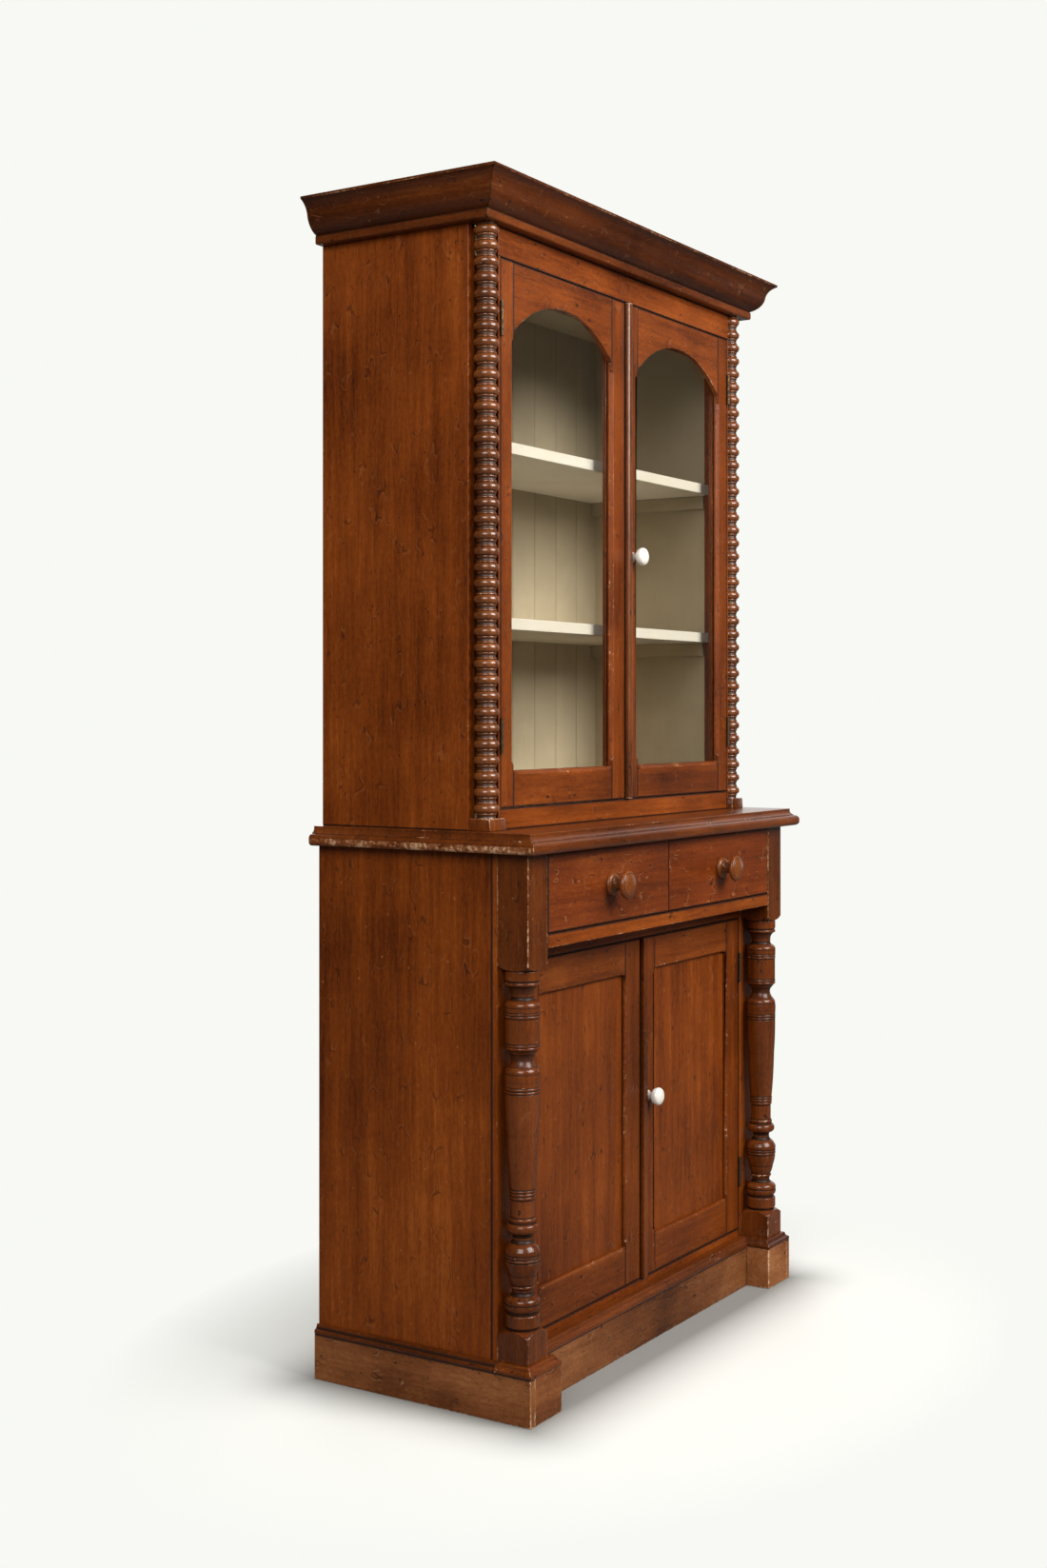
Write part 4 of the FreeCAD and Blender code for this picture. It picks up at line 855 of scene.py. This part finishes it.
def spun(steps, values, centre, axis):
    # spins a profile about a line; its wear on the crests, and its dirt with painted shade in the hollows,
    # follow how it bends
    walk = profileWalk(steps, values["spacing"])
    bm = bmesh.new()
    wear = bm.verts.layers.float.new("wearHere")
    dirt = bm.verts.layers.float.new("dirtHere")
    up = Vector(axis)
    side = Vector((1, 0, 0))
    verts = []
    for here, bend in zip(walk, bendAlong(walk)):
        vertex = bm.verts.new(Vector(centre) + side * max(0.0, here.real) + up * here.imag)
        vertex[wear] = min(1.0, max(0.0, bend) * bending["wearGain"]) * values["wearShare"]
        vertex[dirt] = min(1.0, max(0.0, -bend) * values["dirtAndShadeGain"])
        verts.append(vertex)
    for a, b in zip(verts, verts[1:]):
        bm.edges.new((a, b))
    bmesh.ops.spin(bm, geom=bm.verts[:] + bm.edges[:], cent=centre, axis=axis, dvec=(0, 0, 0),
                   angle=math.tau, steps=values["sides"], use_merge=True, use_duplicate=False)
    bmesh.ops.remove_doubles(bm, verts=bm.verts, dist=welding["fine"])
    bmesh.ops.recalc_face_normals(bm, faces=bm.faces)
    return bm


post = {
    "half": 0.0325, "foot": 0.056, "head": 0.207, "footShoulder": 0.014, "headShoulder": 0.012,
    "headBow": 0.16, "cornerShare": 1.5, "squareFrom": 1.02, "spacing": 0.0009, "sides": 48, "smoothAngle": 40,
    "wearShare": 0.6, "dirtAndShadeGain": 14.0, "headShade": 0.07, "footWear": 0.52, "arris": 0.0013, "arrisWear": 1.1,
    "turning": [
        (0.000, 0.86, 0.16), (0.006, 0.90), (0.009, 0.96, 0.3), (0.038, 0.96), (0.041, 0.93, 0.3),
        (0.042, 0.84), (0.048, 0.84),
        (0.070, 0.965, 0.36), (0.088, 0.83, 0.42), (0.092, 0.70), (0.104, 0.57, -0.35), (0.112, 0.60),
        (0.113, 0.66), (0.120, 0.66, 0.3), (0.121, 0.61),
        (0.150, 0.80, 0.12), (0.186, 0.955, 0.06), (0.188, 0.90), (0.190, 0.955),
        (0.197, 0.955, 0.3), (0.198, 0.92), (0.199, 0.955), (0.207, 0.95, 0.3),
        (0.224, 0.92, 0.25), (0.238, 0.70, 0.15), (0.252, 0.55, -0.3), (0.264, 0.60, -0.25),
        (0.268, 0.78), (0.286, 0.875, 0.35), (0.294, 0.72, 0.35), (0.300, 0.72), (0.309, 0.70, 0.3),
        (0.310, 0.655), (0.361, 0.655), (0.362, 0.70), (0.370, 0.70, 0.35), (0.371, 0.67), (0.372, 0.715),
        (0.380, 0.715, 0.35), (0.381, 0.68), (0.382, 0.725), (0.388, 0.725, 0.35), (0.389, 0.715),
        (0.540, 0.88, 0.02), (0.656, 0.955, 0.02), (0.657, 0.92),
        (0.658, 0.955), (0.665, 0.955, 0.3), (0.666, 0.92), (0.667, 0.955), (0.674, 0.955, 0.3), (0.675, 0.92),
        (0.676, 0.965), (0.690, 0.97), (0.712, 0.95, 0.08), (0.730, 0.80, 0.28),
        (0.745, 0.63, -0.1), (0.770, 0.76, -0.32), (0.780, 0.92, -0.1),
        (0.781, 0.95), (0.787, 0.95, 0.3), (0.788, 0.91), (0.789, 0.95), (0.794, 0.95, 0.3),
        (0.796, 0.94), (0.868, 0.94), (0.869, 0.955), (0.875, 0.955, 0.3), (0.876, 0.92), (0.877, 0.955),
        (0.883, 0.955, 0.3), (0.898, 0.96, 0.08), (0.914, 0.80, 0.38),
        (0.918, 0.68), (0.930, 0.64, -0.3), (0.958, 0.88, -0.3), (0.959, 0.94), (0.967, 0.95, 0.3),
        (0.968, 0.90), (0.971, 0.90), (0.973, 0.96), (0.998, 0.96), (1.000, 0.92),
    ],
}


def cornerPost(node):
    low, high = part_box(node)
    half, corner = post["half"], post["half"] * post["cornerShare"]
    foot = low.z + post["foot"]
    turned = high.z - post["head"] - foot
    shoulder = high.z - post["head"] + post["headShoulder"]
    steps = [(0.0, low.z), (corner, low.z), (corner, foot - post["footShoulder"])]
    steps += [(half * row[1], foot + turned * row[0], *row[2:]) for row in post["turning"]]
    steps += [(corner, shoulder, post["headBow"]), (corner, high.z), (0.0, high.z)]
    axis = ((low.x + high.x) / 2, (low.y + high.y) / 2, 0.0)
    bm = spun(steps, post, axis, (0, 0, 1))
    wear, dirt = bm.verts.layers.float["wearHere"], bm.verts.layers.float["dirtHere"]
    for vertex in bm.verts:
        # the square blank cuts the turning back at head and foot
        across = Vector((vertex.co.x - axis[0], vertex.co.y - axis[1])).length
        isSquare = across > half * post["squareFrom"]
        vertex.co.x = min(max(vertex.co.x, low.x), high.x)
        vertex.co.y = min(max(vertex.co.y, low.y), high.y)
        # painted shade: the square head is darkened
        if isSquare and vertex.co.z > foot:
            vertex[dirt] = post["headShade"]
        elif isSquare:
            vertex[wear] = post["footWear"]
    tight = welding["distance"]
    bmesh.ops.remove_doubles(bm, verts=bm.verts, dist=tight)
    bmesh.ops.dissolve_degenerate(bm, edges=bm.edges, dist=tight)
    bmesh.ops.recalc_face_normals(bm, faces=bm.faces)
    corners = [edge for edge in bm.edges if all(
        abs(abs(v.co.x - axis[0]) - half) < tight and abs(abs(v.co.y - axis[1]) - half) < tight
        for v in edge.verts)]
    for face in bevelled(bm, corners, post["arris"]):
        for vertex in face.verts:
            vertex[wear], vertex[dirt] = post["arrisWear"], 0.0
    piece = joinedPiece(node + "_turned", [bm], [turnedWoods["up"]], post["smoothAngle"])
    standsFor(piece, node)


for node in ("left_corner_post", "right_corner_post"):
    cornerPost(node)

bobbin = {
    "radius": 0.0235, "count": 37, "blockHeight": 0.022, "flare": 0.003, "spacing": 0.0012, "sides": 32,
    "wearShare": 0.42, "dirtAndShadeGain": 14.0, "blockRound": 0.0013, "blockWear": 1.0, "smoothAngle": 50,
    "bead": [(0.24, 0.75, -0.40), (0.25, 0.78), (0.31, 0.78), (0.33, 0.73), (0.89, 0.73, 0.78), (0.91, 0.78),
             (0.98, 0.78), (1.00, 0.75)],
}


def bobbinColumn(node, side):
    low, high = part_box(node)
    foot = low.z + bobbin["blockHeight"]
    pitch = (high.z - foot) / bobbin["count"]
    steps = [(0.0, foot), (bobbin["radius"] * bobbin["bead"][-1][1], foot)]
    for number in range(bobbin["count"]):
        steps += [(bobbin["radius"] * row[1], foot + pitch * (number + row[0]), *row[2:])
                  for row in bobbin["bead"]]
    steps.append((0.0, high.z))
    outer = high.x if side > 0 else low.x
    axis = (outer - side * bobbin["radius"], low.y + bobbin["radius"], 0.0)
    beads = spun(steps, bobbin, axis, (0, 0, 1))
    block = bmesh.new()
    bmesh.ops.create_cube(block, size=1.0)
    for vertex in block.verts:
        # the block flares inwards and forwards at its foot
        shrink = bobbin["flare"] if vertex.co.z > 0 else 0.0
        left, right = (low.x + shrink, high.x) if side > 0 else (low.x, high.x - shrink)
        vertex.co.x = right if vertex.co.x > 0 else left
        vertex.co.y = high.y if vertex.co.y > 0 else low.y + shrink / 2
        vertex.co.z = foot if vertex.co.z > 0 else low.z
    eased, tag = softened(block, bobbin["blockRound"], 0.0)
    marked(block, eased, tag, (node, 0), bobbin["blockWear"], 0.0)
    for face in block.faces:
        face.material_index = 1
    materials = [beadWoods["up"], turnedWoods["up"]]
    piece = joinedPiece(node + "_turned", [beads, block], materials, bobbin["smoothAngle"])
    standsFor(piece, node)


bobbinColumn("left_bobbin_column", -1)
bobbinColumn("right_bobbin_column", 1)

drawerKnob = {
    "radius": 0.026, "reach": 0.045, "sides": 48, "spacing": 0.0009, "wearShare": 0.3, "dirtAndShadeGain": 6.0,
    "turning": [(0.0, 0.0), (0.82, 0.0), (0.84, 0.08, 0.3), (0.60, 0.20, 0.3), (0.40, 0.34, -0.25),
                (0.42, 0.48, -0.1), (0.90, 0.66, -0.3), (1.0, 0.74, 0.3), (0.98, 0.84, 0.3), (0.88, 0.90, 0.2),
                (0.84, 0.885), (0.80, 0.91), (0.0, 1.0, 0.08)],
}
turnKnob = {
    "radius": 0.0175, "reach": 0.034, "sides": 40, "spacing": 0.0008, "wearShare": 0.0, "dirtAndShadeGain": 6.0,
    "turning": [(0.0, 0.0), (0.60, 0.0), (0.60, 0.05), (0.50, 0.10, 0.3), (0.40, 0.28, -0.25),
                (0.62, 0.40, -0.2), (1.00, 0.66, 0.3), (0.72, 0.94, 0.4), (0.0, 1.0, 0.16)],
}


def knobPiece(node, values, material, smoothAngle=60):
    low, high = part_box(node)
    centre = ((low.x + high.x) / 2, high.y, (low.z + high.z) / 2)
    steps = [(values["radius"] * row[0], values["reach"] * row[1], *row[2:]) for row in values["turning"]]
    bm = spun(steps, values, centre, (0, -1, 0))
    piece = joinedPiece(node + "_turned", [bm], [material], smoothAngle)
    standsFor(piece, node)


for side in ("left", "right"):
    knobPiece(side + "_drawer_knob", drawerKnob, knobWood)
for case in ("upper", "lower"):
    knobPiece(case + "_turn_knob", turnKnob, whiteGlaze)
print("turned pieces made")

plainNodes = {
    oldBrass: ("case_hinge_leaves", "upper_left_hinge_leaves", "upper_right_hinge_leaves",
               "lower_left_hinge_leaves", "lower_right_hinge_leaves"),
    darkIron: ("upper_catch", "lower_catch"),
    clearGlass: ("upper_left_glass", "upper_right_glass"),
}
for material, names in plainNodes.items():
    for node in names:
        nodes[node].data.materials.clear()
        nodes[node].data.materials.append(material)
print("metal and glass finished")

backgroundColour = (0.939, 0.947, 0.905)
stage = {
    "half": 14.0, "fadeFrom": 0.58, "fadeTo": 1.15, "depthStretch": 1.4, "glowShare": 0.15, "glowShade": 0.7,
    "seenColour": (0.80, 0.805, 0.775), "darkColour": (0.16, 0.15, 0.14),
    "halfWide": 0.535, "halfDeep": 0.239, "middleDeep": 0.0155, "shadeReach": 0.18, "shadeShare": 0.86,
}


def stageFloor():
    bm = bmesh.new()
    bmesh.ops.create_grid(bm, x_segments=1, y_segments=1, size=stage["half"])
    mesh = bpy.data.meshes.new("floor")
    bm.to_mesh(mesh)
    bm.free()
    f = Finish("floor_card")
    place = f.here()
    away = f.length(f.stretched(place, "deep", stage["depthStretch"]))
    fade = ((away - stage["fadeFrom"]) * (1.0 / (stage["fadeTo"] - stage["fadeFrom"]))).held()
    fade = stage["glowShare"] + fade * (1.0 - stage["glowShare"])
    seen = (f.ray("Camera") + f.ray("Transmission")).held()
    # close round the plinth the card gathers a soft contact shade
    across = f.coordinate(place, "X").size() - stage["halfWide"]
    deep = (f.coordinate(place, "Y") - stage["middleDeep"]).size() - stage["halfDeep"]
    gap = f.add("ShaderNodeCombineXYZ", {}, {0: across.above(0.0) * across, 1: deep.above(0.0) * deep})
    near = (1.0 - f.length(gap) * (1.0 / stage["shadeReach"])).held()
    shade = near * near * stage["shadeShare"]
    # the card is pale where it is looked at and dark for light that bounces off it
    pale = f.mix(shade, stage["seenColour"], stage["darkColour"])
    card = f.add("ShaderNodeBsdfDiffuse", {}, {"Color": f.mix(seen, stage["darkColour"], pale)})
    glow = f.add("ShaderNodeEmission", {}, {
        "Color": (*backgroundColour, 1.0), "Strength": 1.0 - shade * stage["glowShade"]})
    mesh.materials.append(f.done(f.add("ShaderNodeMixShader", {}, {0: fade * seen, 1: card, 2: glow})))
    floor = bpy.data.objects.new("floor", mesh)
    bpy.context.scene.collection.objects.link(floor)


stageFloor()

studio = {
    "softColour": (1.0, 0.99, 0.97), "softStrength": 0.22, "roomStrength": 0.03, "backdropStrength": 0.95,
    "backdropWay": (0.84, 0.54, 0.0), "backdropFrom": 0.50, "backdropTo": 0.85,
}


def studioLight():
    f = Finish("studio", "World")
    # glossy rays meet the pale backdrop behind the cabinet and the dark room before it
    way = f.add("ShaderNodeTexCoord", {}, {}, "Generated")
    behind = f.add("ShaderNodeVectorMath", {"operation": "DOT_PRODUCT"},
                   {0: way, 1: studio["backdropWay"]}, "Value")
    mirrored = f.add("ShaderNodeMapRange", {}, {
        "Value": behind, "From Min": studio["backdropFrom"], "From Max": studio["backdropTo"],
        "To Min": studio["roomStrength"], "To Max": studio["backdropStrength"]})
    strength = f.add("ShaderNodeMix", {}, {0: f.ray("Glossy"), 2: studio["softStrength"], 3: mirrored})
    soft = f.add("ShaderNodeBackground", {}, {"Color": (*studio["softColour"], 1.0), "Strength": strength})
    plain = f.add("ShaderNodeBackground", {}, {"Color": (*backgroundColour, 1.0), "Strength": 1.0})
    seen = (f.ray("Camera") + f.ray("Transmission")).held()
    return f.done(f.add("ShaderNodeMixShader", {}, {0: seen, 1: soft, 2: plain}))


bpy.context.scene.world = studioLight()

lamps = {
    "key": {"place": (0.1, -3.5, 3.2), "aim": (0.0, 0.0, 1.3), "wide": 2.6, "tall": 2.4, "power": 250.0,
            "colour": (1.0, 0.98, 0.95)},
    "fill": {"place": (-4.2, -1.4, 3.3), "aim": (0.0, 0.0, 1.1), "wide": 2.4, "tall": 2.4, "power": 158.0,
             "colour": (1.0, 0.98, 0.95)},
    "back": {"place": (3.9, 3.4, 2.9), "aim": (0.0, 0.0, 1.0), "wide": 2.6, "tall": 2.4, "power": 95.0,
             "colour": (1.0, 0.99, 0.97)},
}
for name, values in lamps.items():
    light = bpy.data.lights.new(name, "AREA")
    light.shape = "RECTANGLE"
    light.size = values["wide"]
    light.size_y = values["tall"]
    light.energy = values["power"]
    light.color = values["colour"]
    lamp = bpy.data.objects.new(name, light)
    lamp.location = values["place"]
    lampWay = Vector(values["aim"]) - Vector(values["place"])
    lamp.rotation_euler = lampWay.to_track_quat("-Z", "Y").to_euler()
    bpy.context.scene.collection.objects.link(lamp)

photoView = {
    "place": (-3.3597, -2.0029, 1.2449), "heading": 57.593, "pixelsLong": 1647, "focusPixels": 2021.0,
    "centreX": 550.5, "centreY": 748.5, "halfWide": 550.0, "halfLong": 823.5, "filmWide": 36.0,
}
eye = bpy.data.cameras.new("camera")
eye.sensor_width = photoView["filmWide"]
eye.sensor_fit = "AUTO"
eye.lens = photoView["focusPixels"] / photoView["pixelsLong"] * photoView["filmWide"]
eye.shift_x = (photoView["halfWide"] - photoView["centreX"]) / photoView["pixelsLong"]
eye.shift_y = (photoView["centreY"] - photoView["halfLong"]) / photoView["pixelsLong"]
camera = bpy.data.objects.new("camera", eye)
camera.location = photoView["place"]
camera.rotation_euler = (math.radians(90.0), 0.0, math.radians(-photoView["heading"]))
bpy.context.scene.collection.objects.link(camera)
bpy.context.scene.camera = camera
bpy.context.scene.view_settings.view_transform = "Standard"
print("stage, light and camera set")
